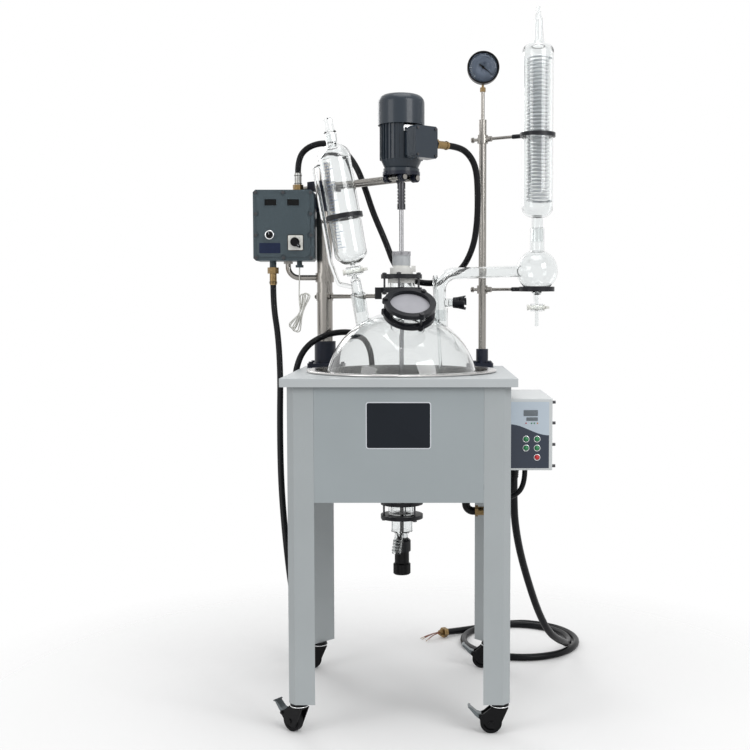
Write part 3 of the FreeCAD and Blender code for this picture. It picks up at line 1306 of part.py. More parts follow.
# Routes of the conduits, each a hand-placed list of points
BOX_CORD = [LEFT_GLAND, V(-428, 245, 1225), V(-408, 208, 1130), V(-395, 158, 1000), V(-391, 105, 863),
            V(-380, 35, 690), V(-362, -30, 555), V(-343, -75, 430), V(-338, -43, 352), V(-338, 31, 312),
            V(-341, 114, 328), V(-345, 167, 393), V(-350, 168, 530), V(-346, 156, 700), V(-352, 166, 870),
            V(-350, 150, 1010), V(-318, 165, 1096), V(-240, 200, 1140), V(-152, 267, 1140),
            V(-124, 332, 1100), V(REAR_GLAND_X, REAR_GLAND_Y, 1044),
            V(REAR_GLAND_X, REAR_GLAND_Y, REAR_GLAND_Z + REAR_GLAND_H)]
MOTOR_CORD_LEFT = [TOP_GLAND, V(-344, 245, 1705), V(-313, 245, 1744), V(-255, 242, 1759),
                   V(-199, 230, 1738), V(-152, 212, 1682), V(-120, 196, 1600), V(-96, 185, 1525),
                   V(-54, 174, 1430), V(-24, 164, 1346), V(40, 150, 1300), V(120, 132, 1297),
                   V(188, 108, 1338), V(224, 86, 1410), V(235, 68, 1490), V(236, 58, 1568)]
HEATER_CORD = [V(373, -100, 737), V(373, -100, 685), V(336, -96, 648), V(284, -90, 648), V(247, -86, 685)]
MAINS_DROP = [V(349, 20, 737), V(349, 20, 690), V(350, 31, 625), V(355, 55, 545), V(375, 100, 440),
              V(410, 165, 320), V(448, 228, 208), V(490, 290, 120), V(533, 360, 72), V(566, 424, 44)]
MAINS_TAIL = [V(196, 672, MAINS_R + 0.3), V(146, 631, MAINS_R + 7.5)]


def motor_cord_points():
    """Left part, then the bend that comes level into the terminal box's gland."""
    way = motor_gland_axis()
    foot = motor_gland_foot() + way * 60
    run = 48.0
    near = foot + way * run
    mid = near + way * (run * math.cos(math.radians(30))) - UP * (run * 0.5)
    far = mid + way * (run * 0.5) - UP * (run * math.cos(math.radians(30)))
    return MOTOR_CORD_LEFT + [far, mid, near, foot]


def mains_points():
    """Drop from the box, then one and a half flat turns on the floor and a short tail."""
    z = MAINS_R + 0.3
    turns = []
    for k in range(int(LOOP_SPAN / LOOP_STEP) + 1):
        angle = math.radians(LOOP_START + LOOP_STEP * k)
        r = LOOP_R + LOOP_GROWTH * LOOP_STEP * k / 360
        height = z + (14 if k == 0 else 0)
        turns.append(LOOP_AT + V(r * math.cos(angle), r * math.sin(angle), height))
    return MAINS_DROP + turns[:-1] + MAINS_TAIL


def cord_glands():
    """Gland at the mains lead's free end and the elbow on the rear panel."""
    points = mains_points()
    way = (points[-1] - points[-2]).normalize()
    rear = V(REAR_GLAND_X, FRAME / 2, REAR_GLAND_Z)
    elbow = V(REAR_GLAND_X, REAR_GLAND_Y, REAR_GLAND_Z)
    bend = join([cyl(14, REAR_GLAND_Y - FRAME / 2, rear, BACK), Part.makeSphere(14, elbow),
                 cyl(12.5, REAR_GLAND_H, elbow)])
    return [gland(points[-1], way, 16, 18, 9, 14), bend]


def sensor_wire():
    """Thin lead down to its tied hank, and the hank as one bar, pinched where it is tied."""
    top = V(-319, 245, 1268)
    tie = V(-335, 245, 1206)
    low = V(-366, 245, 1144)
    lead_end = tie + V(-1, 0, 4)
    lead = cord("sensor_wire", [WIRE_FOOT, V(-341, 245, 1290), lead_end], WIRE_R)
    sections = []
    for at, a, b in ((top, 11, 7), (tie, 6, 5), (low, 14, 8)):
        ellipse = Part.Ellipse(at + RIGHT * a, at + BACK * b, at).toShape()
        sections.append(Part.Wire(ellipse))
    hank = Part.makeLoft(sections, True)
    return join([lead, hank])


def save(name, shape):
    solids = shape if isinstance(shape, list) else [shape]
    whole = Part.makeCompound([s for item in solids for s in item.Solids])
    bad = [s for s in whole.Solids if not s.isValid() or s.Volume <= 0]
    print(name, len(whole.Solids), "solids", round(whole.Volume / 1000, 1), "cm3", "BAD" if bad else "")
    whole.exportStep("parts/" + name + ".step")


def build():
    os.makedirs("parts", exist_ok=True)
    makers = [frame_legs, table_top, apron_panels, bath_pan, bath_heater, bath_drain, flask, clamp_rings,
              fasteners, neck_seals, seal_nut, stirrer_shaft, stirrer_paddle, motor_plate, motor_body,
              fan_cover, support_rods, holder_rings, columns, column_castings, vapour_tube, bulb_tap_key,
              condenser, condenser_coil, addition_funnel, funnel_key, glass_fittings, gauge_case,
              gauge_needle, control_box, speed_knob, selector_knob, bath_controller, brass_fittings,
              discharge_neck, discharge_handle, cord_glands, sensor_wire]
    for maker in makers:
        save(maker.__name__, maker())
    for name, (x, z) in BUTTONS.items():
        save(name, button(x, z))
    save("castor_tops", [castor_top(at) for at in castor_places().values()])
    for key in castor_places():
        save("castor_fork_" + key, castor(castor_fork, key))
        save("castor_wheel_" + key, castor(castor_wheel, key))
        save("castor_pedal_" + key, castor(castor_pedal, key))
    save("box_conduit", cord("box_conduit", BOX_CORD, CONDUIT_R))
    save("motor_conduit", cord("motor_conduit", motor_cord_points(), CONDUIT_R))
    save("heater_conduit", cord("heater_conduit", HEATER_CORD, HEATER_CORD_R))
    save("mains_conduit", cord("mains_conduit", mains_points(), MAINS_R))


build()
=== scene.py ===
"""Looks of the bench glass reactor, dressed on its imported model. Lengths are metres."""
import bpy
import math
import numpy as np
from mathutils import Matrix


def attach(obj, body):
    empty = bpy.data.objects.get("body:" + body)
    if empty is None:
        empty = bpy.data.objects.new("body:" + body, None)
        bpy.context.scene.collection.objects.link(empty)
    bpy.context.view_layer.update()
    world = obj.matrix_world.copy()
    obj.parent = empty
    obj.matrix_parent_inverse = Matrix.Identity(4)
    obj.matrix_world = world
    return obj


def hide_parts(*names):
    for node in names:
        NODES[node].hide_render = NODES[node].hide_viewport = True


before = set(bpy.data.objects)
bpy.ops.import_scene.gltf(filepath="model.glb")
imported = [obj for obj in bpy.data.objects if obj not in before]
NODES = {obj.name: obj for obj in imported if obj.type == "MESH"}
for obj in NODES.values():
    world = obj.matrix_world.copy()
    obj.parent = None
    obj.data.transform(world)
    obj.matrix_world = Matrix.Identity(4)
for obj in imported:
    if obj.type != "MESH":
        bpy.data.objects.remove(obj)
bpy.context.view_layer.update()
BASE = "base"
UP = np.array([0.0, 0.0, 1.0])


# Camera, fitted to the picture

SENSOR, LENS = 36.0, 53.28        # millimetres
SIDE_SHIFT = -0.074               # in widths of the picture
STAND = (0.089, -3.4165, 1.226)
PITCH = 86.44                     # degrees from straight down


def stand_camera():
    """Level with the flask's necks, looking slightly down, with its picture shifted sideways."""
    data = bpy.data.cameras.new("reactor_view")
    data.sensor_width = SENSOR
    data.lens = LENS
    data.shift_x = SIDE_SHIFT
    camera = bpy.data.objects.new("reactor_view", data)
    camera.location = STAND
    camera.rotation_euler = (math.radians(PITCH), 0.0, 0.0)
    bpy.context.collection.objects.link(camera)
    bpy.context.scene.camera = camera


stand_camera()


# Surfaces as whole arrays

def mesh_piece(name, points, faces, slot, body=BASE, smooth=True):
    """A mesh from arrays of points and faces, riding on one body."""
    data = bpy.data.meshes.new(name)
    data.from_pydata(np.asarray(points, float).tolist(), [], [list(map(int, f)) for f in faces])
    data.validate()
    data.update()
    data.polygons.foreach_set("use_smooth", np.full(len(data.polygons), smooth))
    piece = bpy.data.objects.new(name, data)
    bpy.context.collection.objects.link(piece)
    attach(piece, body)
    return piece


def full_turn(steps):
    """Evenly spaced angles of one full turn."""
    return np.linspace(0, 2 * np.pi, steps, endpoint=False)


def compass(angle):
    """Unit directions at these angles, as pairs."""
    return np.stack([np.cos(angle), np.sin(angle)], axis=-1)


def quads(rows, columns):
    """Indices of the cells of a grid of points, whose last column meets its first."""
    i, j = np.meshgrid(np.arange(rows - 1), np.arange(columns), indexing="ij")
    a = i * columns + j
    b = i * columns + (j + 1) % columns
    return np.stack([a, b, b + columns, a + columns], axis=-1).reshape(-1, 4)


def loft(rings):
    """A stack of closed rings, joined one to the next, with its two ends filled flat."""
    rings = np.asarray(rings, float)
    rows, columns = rings.shape[:2]
    faces = list(quads(rows, columns))
    faces.append(np.arange(columns)[::-1])
    faces.append((rows - 1) * columns + np.arange(columns))
    return rings.reshape(-1, 3), faces


def hooped(rings):
    """A closed row of closed rings, so that the last joins the first."""
    rings = np.asarray(rings, float)
    rows, columns = rings.shape[:2]
    return rings.reshape(-1, 3), list(quads(rows + 1, columns) % (rows * columns))


def merge(*shapes):
    """Several shapes as one list of points and faces."""
    points, faces, count = [], [], 0
    for p, f in shapes:
        points.append(p)
        faces += [np.asarray(face) + count for face in f]
        count += len(p)
    return np.concatenate(points), faces


def seat(origin, right, up):
    """A frame on a surface: its origin, two directions along it and the one out of it."""
    right = np.array(right, float) / np.linalg.norm(right)
    up = np.array(up, float)
    up = up - right * up.dot(right)
    up = up / np.linalg.norm(up)
    return np.array(origin, float), right, up, np.cross(right, up)


def front(x, y, z):
    """A seat on a face that looks forward."""
    return seat((x, y, z), (1, 0, 0), (0, 0, 1))


def laid(flat, out, at):
    """Points given along a seat's two directions and at a height out of it."""
    origin, right, up, normal = at
    return origin + flat[..., :1] * right + flat[..., 1:2] * up + np.asarray(out)[..., None] * normal


def rounded_outline(w, h, r, steps=5):
    """Rectangle with round corners, as corner centre plus radius times direction, anticlockwise."""
    quarter = compass(np.linspace(0, np.pi / 2, steps))
    sides = []
    for k, (sx, sy) in enumerate([(1, 1), (-1, 1), (-1, -1), (1, -1)]):
        c, s = round(math.cos(k * math.pi / 2)), round(math.sin(k * math.pi / 2))
        spun = quarter @ np.array([[c, s], [-s, c]])
        sides.append(np.array([sx * (w / 2 - r), sy * (h / 2 - r)]) + r * spun)
    return np.concatenate(sides)


def pad(w, h, r, height, edge, at):
    """Plate w by h, with corners r and a rim rounded over by edge: outlines that shrink as they rise."""
    phi = np.linspace(0, np.pi / 2, 4)
    inset = np.concatenate([[0.0], edge * (1 - np.cos(phi))])
    rise = np.concatenate([[0.0], height - edge + edge * np.sin(phi)])
    rings = []
    for i, z in zip(inset, rise):
        flat = rounded_outline(w - 2 * i, h - 2 * i, max(r - i, r * 0.3))
        rings.append(laid(flat, np.full(len(flat), z), at))
    return loft(rings)


def pointer(centre, reach, degrees, w, h, r, height, edge):
    """Small bar on a face that looks forward, pointing away from a centre at a reach and an angle."""
    x, z = math.cos(math.radians(degrees)), math.sin(math.radians(degrees))
    spot = np.array(centre) + reach * np.array([x, 0, z])
    return pad(w, h, r, height, edge, seat(spot, (z, 0, -x), (x, 0, z)))


def turned_part(profile, at, steps, centre=(0, 0)):
    """Profile of (radius, height) carried round a seat's outward direction."""
    profile = np.array(profile, float)
    flat = profile[:, None, :1] * compass(full_turn(steps))[None] + np.array(centre)
    return loft(laid(flat, np.repeat(profile[:, 1:2], steps, axis=1), at))


def closed_ring(profile, at, steps=64):
    """Closed section of (radius, height) points carried round, so that it forms a ring."""
    profile = np.array(profile, float)
    flat = profile[None, :, :1] * compass(full_turn(steps))[:, None]
    points, faces = hooped(laid(flat, np.repeat(profile[None, :, 1], steps, axis=0), at))
    return points, [face[::-1] for face in faces]


def holed(outline, hole, height, at):
    """Plate with a hole: outer and inner outline of as many points each, low and high."""
    low, high = np.zeros(len(outline)), np.full(len(outline), height)
    return hooped([laid(flat, out, at) for flat, out in
                   ((outline, low), (outline, high), (hole, high), (hole, low))])


def wrapped(at, radius, thick, turns, lengths, steps):
    """Strip bent round a seat's outward direction, from one angle and length to another."""
    r = np.array([radius, radius + thick, radius + thick, radius])
    z = np.array([lengths[0], lengths[0], lengths[1], lengths[1]])
    flat = r[None, :, None] * compass(np.radians(np.linspace(turns[0], turns[1], steps)))[:, None]
    return loft(laid(flat, np.repeat(z[None], steps, axis=0), at))


def swept(path, radius, steps):
    """Round section carried along a path, square to its tangent and with its sides kept level."""
    path = np.array(path, float)
    tangent = np.gradient(path, axis=0)
    tangent /= np.linalg.norm(tangent, axis=1)[:, None]
    side = np.cross(tangent, UP)
    side /= np.linalg.norm(side, axis=1)[:, None]
    rise = np.cross(side, tangent)
    angle = full_turn(steps)[None, :, None]
    return loft(path[:, None] + radius * (np.cos(angle) * side[:, None] + np.sin(angle) * rise[:, None]))


# Free conduits and leads, each along its own route

SLIM = 0.01  # radius of a spline's points, small so that the curve's own box stays close to it


def conduit(name, points, diameter, node):
    """A round bar along one smooth spline that is drawn towards its route's points."""
    data = bpy.data.curves.new(name, "CURVE")
    data.dimensions = "3D"
    data.bevel_depth = diameter / 2 / SLIM
    data.bevel_resolution = 5
    data.use_fill_caps = True
    data.resolution_u = 10
    data.twist_mode = "MINIMUM"
    spline = data.splines.new("NURBS")
    spline.points.add(len(points) - 1)
    spline.points.foreach_set("co", np.c_[np.array(points), np.ones(len(points))].ravel())
    spline.points.foreach_set("radius", np.full(len(points), SLIM))
    spline.order_u = 3
    spline.use_endpoint_u = True
    piece = bpy.data.objects.new(name, data)
    bpy.context.collection.objects.link(piece)
    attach(piece, BASE)
    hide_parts(node)
    return piece


BOX_ROUTE = [(-0.428, 0.245, 1.295), (-0.428, 0.245, 1.225), (-0.408, 0.208, 1.130), (-0.395, 0.158, 1.000),
             (-0.391, 0.105, 0.863), (-0.380, 0.035, 0.690), (-0.362, -0.030, 0.555), (-0.343, -0.075, 0.430),
             (-0.338, -0.043, 0.352), (-0.338, 0.031, 0.312), (-0.341, 0.114, 0.328), (-0.345, 0.167, 0.393),
             (-0.350, 0.168, 0.530), (-0.346, 0.156, 0.700), (-0.352, 0.166, 0.870), (-0.350, 0.150, 1.010),
             (-0.318, 0.165, 1.096), (-0.240, 0.200, 1.140), (-0.152, 0.267, 1.140), (-0.124, 0.332, 1.100),
             (-0.112, 0.360, 1.044), (-0.112, 0.360, 0.980)]
MOTOR_ROUTE = [(-0.344, 0.245, 1.659), (-0.344, 0.245, 1.705), (-0.313, 0.245, 1.744), (-0.255, 0.242, 1.759),
               (-0.199, 0.230, 1.738), (-0.152, 0.212, 1.682), (-0.120, 0.196, 1.600), (-0.096, 0.185, 1.525),
               (-0.054, 0.174, 1.430), (-0.024, 0.164, 1.346), (0.040, 0.150, 1.300), (0.120, 0.132, 1.297),
               (0.188, 0.108, 1.338), (0.224, 0.086, 1.410), (0.235, 0.068, 1.490), (0.236, 0.058, 1.568),
               (0.2320, 0.0520, 1.6447), (0.2128, 0.0371, 1.6863), (0.1792, 0.0117, 1.7103),
               (0.1410, -0.0176, 1.7103)]
HEATER_ROUTE = [(0.373, -0.100, 0.737), (0.373, -0.100, 0.685), (0.336, -0.096, 0.648),
                (0.284, -0.090, 0.648), (0.247, -0.086, 0.685)]
MAINS_ROUTE = [(0.349, 0.020, 0.737), (0.349, 0.020, 0.690), (0.350, 0.031, 0.625), (0.355, 0.055, 0.545),
               (0.375, 0.100, 0.440), (0.410, 0.165, 0.320), (0.448, 0.228, 0.208), (0.490, 0.290, 0.120),
               (0.533, 0.360, 0.072), (0.566, 0.424, 0.044)]


FLOOR_MIDDLE = (0.407, 0.562)    # of the lead's turns on the floor
FLOOR_RADIUS = 0.186             # of their first point
FLOOR_WIDENS = 0.027             # in each turn
FLOOR_START, FLOOR_STEP, FLOOR_POINTS = -30.0, 24.0, 21    # degrees, degrees, count
LYING = 0.0123                  # height of the lead's middle on the floor
COMING_DOWN = 0.014             # how much higher the first point still is


def floor_turns():
    """One and a third flat turns that widen steadily, fifteen points to a turn."""
    turns = []
    for k in range(FLOOR_POINTS):
        angle = math.radians(FLOOR_START + FLOOR_STEP * k)
        r = FLOOR_RADIUS + FLOOR_WIDENS * FLOOR_STEP * k / 360
        height = LYING + (COMING_DOWN if k == 0 else 0.0)
        turns.append((FLOOR_MIDDLE[0] + r * math.cos(angle), FLOOR_MIDDLE[1] + r * math.sin(angle), height))
    return turns


MAINS_TAIL = [(0.196, 0.672, LYING), (0.146, 0.631, 0.0195)]

TIE = np.array([-0.335, 0.245, 1.206])       # of the sensor lead's hank
TIE_HALF = 0.0023                            # half the width of a loop where it is tied
LOOP_DEPTH = 0.0044                          # from one loop to the next behind it
OCTAGON = 1.082                              # corner's distance over the side's, on an octagon
LOW_LEANS = (14.0, 31.0, 22.0, 37.0)         # degrees from straight down
HIGH_LEANS = (20.0, 5.0, 13.0)               # degrees from straight up
LOW_REACH, HIGH_REACH = 0.067, 0.063
REACH_STEP = 0.004                           # by which every second loop is shorter
LOW_RADIUS, HIGH_RADIUS = 0.0098, 0.0090


def loop_end(tip, radius, deep):
    """Round end of a loop: six points on an octagon about the tip's centre, from one side to the other."""
    way = (tip - TIE) / np.linalg.norm(tip - TIE)
    side = np.array([way[2], 0.0, -way[0]])
    centre = tip - way * radius
    angle = np.radians([-22.5, 22.5, 67.5, 112.5, 157.5, 202.5])
    ring = centre + OCTAGON * radius * (np.cos(angle)[:, None] * side + np.sin(angle)[:, None] * way)
    return ring + np.array([0.0, deep, 0.0])


def hank_route():
    """Lead straight down to its tie, then four flat loops behind one another, fanned below and above it."""
    points = [(-0.341, 0.245, 1.352), (-0.342, 0.243, 1.298), (-0.343, 0.239, 1.246)]
    for k, low_lean in enumerate(LOW_LEANS):
        deep = LOOP_DEPTH * (k - 1.5)
        lean = math.radians(low_lean)
        tip = TIE + (LOW_REACH - REACH_STEP * (k % 2)) * np.array([-math.sin(lean), 0.0, -math.cos(lean)])
        points.append((TIE[0] - TIE_HALF, TIE[1] + deep, TIE[2]))
        points += [tuple(p) for p in loop_end(tip, LOW_RADIUS, deep)]
        points.append((TIE[0] + TIE_HALF, TIE[1] + deep, TIE[2]))
        if k < len(HIGH_LEANS):
            lean = math.radians(HIGH_LEANS[k])
            head = TIE + (HIGH_REACH - REACH_STEP * (k % 2)) * np.array([math.sin(lean), 0.0, math.cos(lean)])
            turn = loop_end(head, HIGH_RADIUS, deep)
            turn[:, 1] += np.linspace(0.0, LOOP_DEPTH, len(turn))
            points += [tuple(p) for p in turn]
    return points + [tuple(TIE + np.array(end)) for end in [(0.004, 0.0066, 0.012), (0.009, 0.0066, 0.026)]]


BOOT_BORE, BOOT_LENGTH = 0.0121, 0.046
BOOT_START, BOOT_FALL = 0.0172, 0.078
BOOT_RIB, BOOT_PITCH = 0.0007, 0.0058


def relief_boot():
    """Ribbed boot whose radius falls with the length: radius = start - fall * length + rib * wave."""
    length = np.linspace(0.0, BOOT_LENGTH, 47)
    radius = BOOT_START - BOOT_FALL * length + BOOT_RIB * np.sin(2 * np.pi * length / BOOT_PITCH)
    profile = np.r_[[(BOOT_BORE, 0.0)], np.c_[radius, length], [(BOOT_BORE, BOOT_LENGTH)]]
    ring = closed_ring(profile, seat(MAINS_ROUTE[0], (1, 0, 0), (0, -1, 0)), 36)
    return mesh_piece("relief_boot", *ring, slot="black_rubber")


CORE_FOOT = np.array([0.1214, 0.6108, 0.0230])
CORE_WAY = np.array([-0.7685, -0.6300, 0.1107])
CORE_SIDE = np.array([0.634, -0.773, 0.0])
CORE_RADIUS, CORE_END_RADIUS = 0.0019, 0.0011
CORE_GAP = 0.0042              # between the cores where they leave the gland
CORE_FAN, CORE_SWEEP = 0.012, 0.014    # by which they part, and by which they all bend aside
CORE_LENGTH, CORE_SHORTER = 0.058, 0.008
MIDDLE_RISE, CORE_DROOP = 0.002, 0.0185


def bared_cores():
    """Three insulated cores that leave the lead's gland and part, each with a bright end.

    They part, bend aside and droop with the square of the length."""
    t = np.linspace(-0.2, 1.0, 13)[:, None]
    bend = np.clip(t, 0, 1) ** 2
    cores, ends = [], []
    for k in (-1, 0, 1):
        far = CORE_LENGTH - CORE_SHORTER * abs(k - 0.4)
        aside = k * CORE_GAP + (CORE_FAN * k - CORE_SWEEP) * bend
        path = CORE_FOOT + CORE_WAY * far * t + CORE_SIDE * aside
        path = path + UP * MIDDLE_RISE * (1 - abs(k)) - UP * CORE_DROOP * bend
        cores.append(swept(path, CORE_RADIUS, 12))
        step = path[-1] - path[-2]
        ends.append(swept(path[-1] + step * np.array([[-0.1], [0.8], [2.15]]), CORE_END_RADIUS, 10))
    return [mesh_piece("bared_cores", *merge(*cores), slot="black_rubber"),
            mesh_piece("core_ends", *merge(*ends), slot="brass")]


box_hose = conduit("box_hose", BOX_ROUTE, 0.020, "box_conduit")
motor_hose = conduit("motor_hose", MOTOR_ROUTE, 0.020, "motor_conduit")
heater_hose = conduit("heater_hose", HEATER_ROUTE, 0.016, "heater_conduit")
boot = relief_boot()
cores, core_ends = bared_cores()
mains_hose = conduit("mains_hose", MAINS_ROUTE + floor_turns() + MAINS_TAIL, 0.024,
                     "mains_conduit")
lead_route = hank_route()
sensor_lead = conduit("sensor_lead", lead_route, 0.004, "sensor_wire")


# Shader writing

class Wire:
    """A shader socket that takes part in sums, products and comparisons."""

    def __init__(self, tree, socket):
        self.tree = tree
        self.socket = socket

    def math(self, kind, other, swap=False):
        node = self.tree.nodes.new("ShaderNodeMath")
        node.operation = kind
        pair = (other, self) if swap else (self, other)
        for slot, value in zip(node.inputs, pair):
            if isinstance(value, Wire):
                self.tree.links.new(value.socket, slot)
            elif value is not None:
                slot.default_value = value
        return Wire(self.tree, node.outputs[0])

    def __add__(self, other):
        return self.math("ADD", other)

    __radd__ = __add__

    def __sub__(self, other):
        return self.math("SUBTRACT", other)

    def __rsub__(self, other):
        return self.math("SUBTRACT", other, True)

    def __mul__(self, other):
        return self.math("MULTIPLY", other)

    __rmul__ = __mul__

    def above(self, level):
        return self.math("GREATER_THAN", level)

    def below(self, level):
        return self.math("LESS_THAN", level)

    def clipped(self):
        """The same value, held between 0 and 1."""
        wire = self.math("ADD", 0.0)
        wire.socket.node.use_clamp = True
        return wire


class Finish:
    """One material: a shader with its own constants, and the wires that vary it."""

    def __init__(self, name, colour, roughness, metallic=0.0, **constants):
        self.material = bpy.data.materials.new(name)
        self.material.use_nodes = True
        self.tree = self.material.node_tree
        self.shader = self.tree.nodes["Principled BSDF"]
        self.out = self.tree.nodes["Material Output"]
        self.set("Base Color", (*colour, 1.0))
        self.set("Roughness", roughness)
        self.set("Metallic", metallic)
        for name, value in constants.items():
            self.set(name.replace("_", " "), value)
        self.place = self.node("ShaderNodeTexCoord", {})["Object"]

    def fill(self, slot, value):
        if isinstance(value, Wire):
            self.tree.links.new(value.socket, slot)
        else:
            slot.default_value = value

    def set(self, name, value):
        self.fill(self.shader.inputs[name], value)

    def node(self, kind, settings, **inputs):
        """Adds a node, sets it and fills its sockets, by name or as i and a number. Returns its outputs."""
        node = self.tree.nodes.new(kind)
        for name, value in settings.items():
            setattr(node, name, value)
        for name, value in inputs.items():
            by_number = name[0] == "i" and name[1:].isdigit()
            self.fill(node.inputs[int(name[1:]) if by_number else name], value)
        return {s.name: Wire(self.tree, s) for s in node.outputs if s.enabled}

    def xyz(self):
        """The three coordinates of its place."""
        parts = self.node("ShaderNodeSeparateXYZ", {}, Vector=self.place)
        return parts["X"], parts["Y"], parts["Z"]

    def noise(self, scale, detail=3.0, rough=0.5, stretch=(1, 1, 1)):
        place = self.place
        if stretch != (1, 1, 1):
            place = self.node("ShaderNodeMapping", {}, Vector=place, Scale=stretch)["Vector"]
        node = self.node("ShaderNodeTexNoise", {}, Vector=place, Scale=scale, Detail=detail, Roughness=rough)
        return node.get("Fac") or node["Factor"]

    def mix(self, amount, a, b):
        """Colour between a and b by an amount."""
        def tint(value):
            return value if isinstance(value, Wire) else (*value, 1.0)
        return self.node("ShaderNodeMix", {"data_type": "RGBA"}, i0=amount, i6=tint(a), i7=tint(b))["Result"]

    def clouded(self, amount, colour, low, high=1.0):
        """One colour that varies between two shares of itself."""
        return self.mix(amount, toned(colour, low), toned(colour, high))

    def bump(self, height, strength, distance):
        self.set("Normal", self.node("ShaderNodeBump", {}, Height=height, Strength=strength,
                                     Distance=distance)["Normal"])

    def blend(self, amount, first, second):
        """Shader between two others."""
        return self.node("ShaderNodeMixShader", {}, i0=amount, i1=first, i2=second)["Shader"]

    def own_shader(self):
        return Wire(self.tree, self.shader.outputs[0])

    def lit_through(self, shade):
        """Its own shader, but plainly see-through, darkened to a shade, where a lamp's light passes."""
        lamp = self.node("ShaderNodeLightPath", {})["Is Shadow Ray"]
        clear = self.node("ShaderNodeBsdfTransparent", {}, Color=(shade, shade, shade, 1.0))["BSDF"]
        return self.blend(lamp, self.own_shader(), clear)

    def surface(self, shader):
        """Puts another shader on the material's output."""
        self.tree.links.new(shader.socket, self.out.inputs["Surface"])


def srgb(r, g, b):
    """Linear colour of an sRGB triple from 0 to 255."""
    v = np.array([r, g, b]) / 255.0
    return tuple(float(x) for x in np.where(v <= 0.04045, v / 12.92, ((v + 0.055) / 1.055) ** 2.4))


def toned(colour, share):
    """Colour made darker or lighter by a share, up to full."""
    return tuple(min(c * share, 1) for c in colour)


def sheet_paint(name, colour, roughness=0.42):
    """Powder coat on sheet: fine orange peel, faint cloudy tone and a few duller patches."""
    f = Finish(name, colour, roughness, Coat_Weight=0.12, Coat_Roughness=0.25)
    f.set("Base Color", f.clouded(f.noise(7.0, 4.0), colour, 0.93, 1.05))
    f.set("Roughness", roughness - 0.08 + 0.16 * f.noise(23.0, 3.0))
    f.bump(f.noise(900.0, 2.0), 0.10, 0.0006)
    return f.material


def cast_enamel(name, colour, roughness, grain, depth, coat=0.12):
    """Thick enamel on a rough casting: pebbled skin, with painted shade in its pits and painted light on its
    high spots.
    """
    f = Finish(name, colour, roughness, Coat_Weight=coat, Coat_Roughness=0.15, Specular_IOR_Level=0.25)
    pebble = f.noise(grain, 3.0, 0.6)
    # The colour follows the bump's pebble: painted shade in the pits and painted light on the high spots.
    f.set("Base Color", f.clouded(pebble, colour, 0.75, 1.35))
    f.set("Roughness", roughness + 0.18 * f.noise(40.0))
    f.bump(pebble, depth, 0.0012)
    return f.material


def drawn_steel(name, colour, roughness, stretch, grain=0.10):
    """Bare metal with fine lines, drawn out along the direction whose stretch is below one."""
    f = Finish(name, colour, roughness, 1.0)
    lines = f.noise(160.0, 4.0, 0.6, stretch)
    f.set("Roughness", roughness - grain / 2 + grain * lines)
    f.set("Base Color", f.clouded(f.noise(9.0), colour, 0.9))
    f.bump(lines, 0.05, 0.0004)
    return f.material


def moulded(name, colour, roughness, grain=700.0, depth=0.06, shine=0.5):
    """Plastic or rubber: fine moulded grain and a little handling polish."""
    f = Finish(name, colour, roughness, Specular_IOR_Level=shine)
    f.set("Roughness", roughness - 0.06 + 0.14 * f.noise(35.0))
    f.set("Base Color", f.clouded(f.noise(14.0), colour, 0.88, 1.08))
    f.bump(f.noise(grain, 2.0), depth, 0.0005)
    return f.material


PLATED_FROM, PLATED_SIDE = 1.6212, -0.30      # the plated tail's lowest height, and the side it is within
MOTOR_OUT = (0.7923, 0.6101)                  # way from the motor's gland to the motor, seen from above
BLACK_FROM, BLACK_WITHIN = 1.690, 0.0555      # the black gland's lowest height, and its reach along that way


def gland_metal(name, colour):
    """Dull brass with stains. The tail over the control box is plated, and the motor's gland begins black."""
    f = Finish(name, colour, 0.30, 1.0)
    x, y, z = f.xyz()
    plated = z.above(PLATED_FROM) * x.below(PLATED_SIDE)
    black = z.above(BLACK_FROM) * (x * MOTOR_OUT[0] + y * MOTOR_OUT[1]).below(BLACK_WITHIN)
    stain = f.clouded(f.noise(45.0, 4.0), colour, 0.62, 1.15)
    bright = f.mix(plated, stain, f.mix(f.noise(60.0), (0.30, 0.30, 0.29), (0.46, 0.46, 0.45)))
    f.set("Base Color", f.mix(black, bright, (0.012, 0.012, 0.014)))
    f.set("Roughness", 0.22 + 0.2 * f.noise(120.0))
    return f.material


COUPLING_FROM = 1.519     # height


def shaft_steel(name):
    """Ground shaft, with the dark grooved coupling above a height."""
    f = Finish(name, (0.36, 0.36, 0.37), 0.25, 1.0)
    lines = f.noise(200.0, 3.0, 0.6, (1, 1, 0.05))
    ground = f.mix(lines, (0.30, 0.30, 0.31), (0.40, 0.40, 0.41))
    f.set("Base Color", f.mix(f.xyz()[2].above(COUPLING_FROM), ground, (0.06, 0.06, 0.065)))
    f.set("Roughness", 0.18 + 0.12 * lines)
    return f.material


GREY_FROM = 1.349     # height


def seal_body(name):
    """White lower flange, and a cloudier grey upper body, parted at a height."""
    f = Finish(name, srgb(226, 226, 222), 0.35, Specular_IOR_Level=0.4)
    cloud = f.noise(60.0)
    white = f.mix(cloud, srgb(214, 214, 210), srgb(234, 234, 231))
    grey = f.mix(cloud, srgb(150, 154, 158), srgb(196, 199, 201))
    f.set("Base Color", f.mix(f.xyz()[2].above(GREY_FROM), white, grey))
    f.set("Roughness", 0.28 + 0.14 * f.noise(30.0))
    return f.material


GLASS_TINT, GLASS_SHADE, GLASS_BEND = (0.90, 0.915, 0.915), 0.86, 1.47


def smooth_glass(name, tint=GLASS_TINT, bend=GLASS_BEND):
    """See-through glass whose polish is hardly uneven."""
    f = Finish(name, tint, 0.0, IOR=bend, Transmission_Weight=1.0)
    f.set("Roughness", 0.004 + 0.012 * f.noise(4.0))
    return f


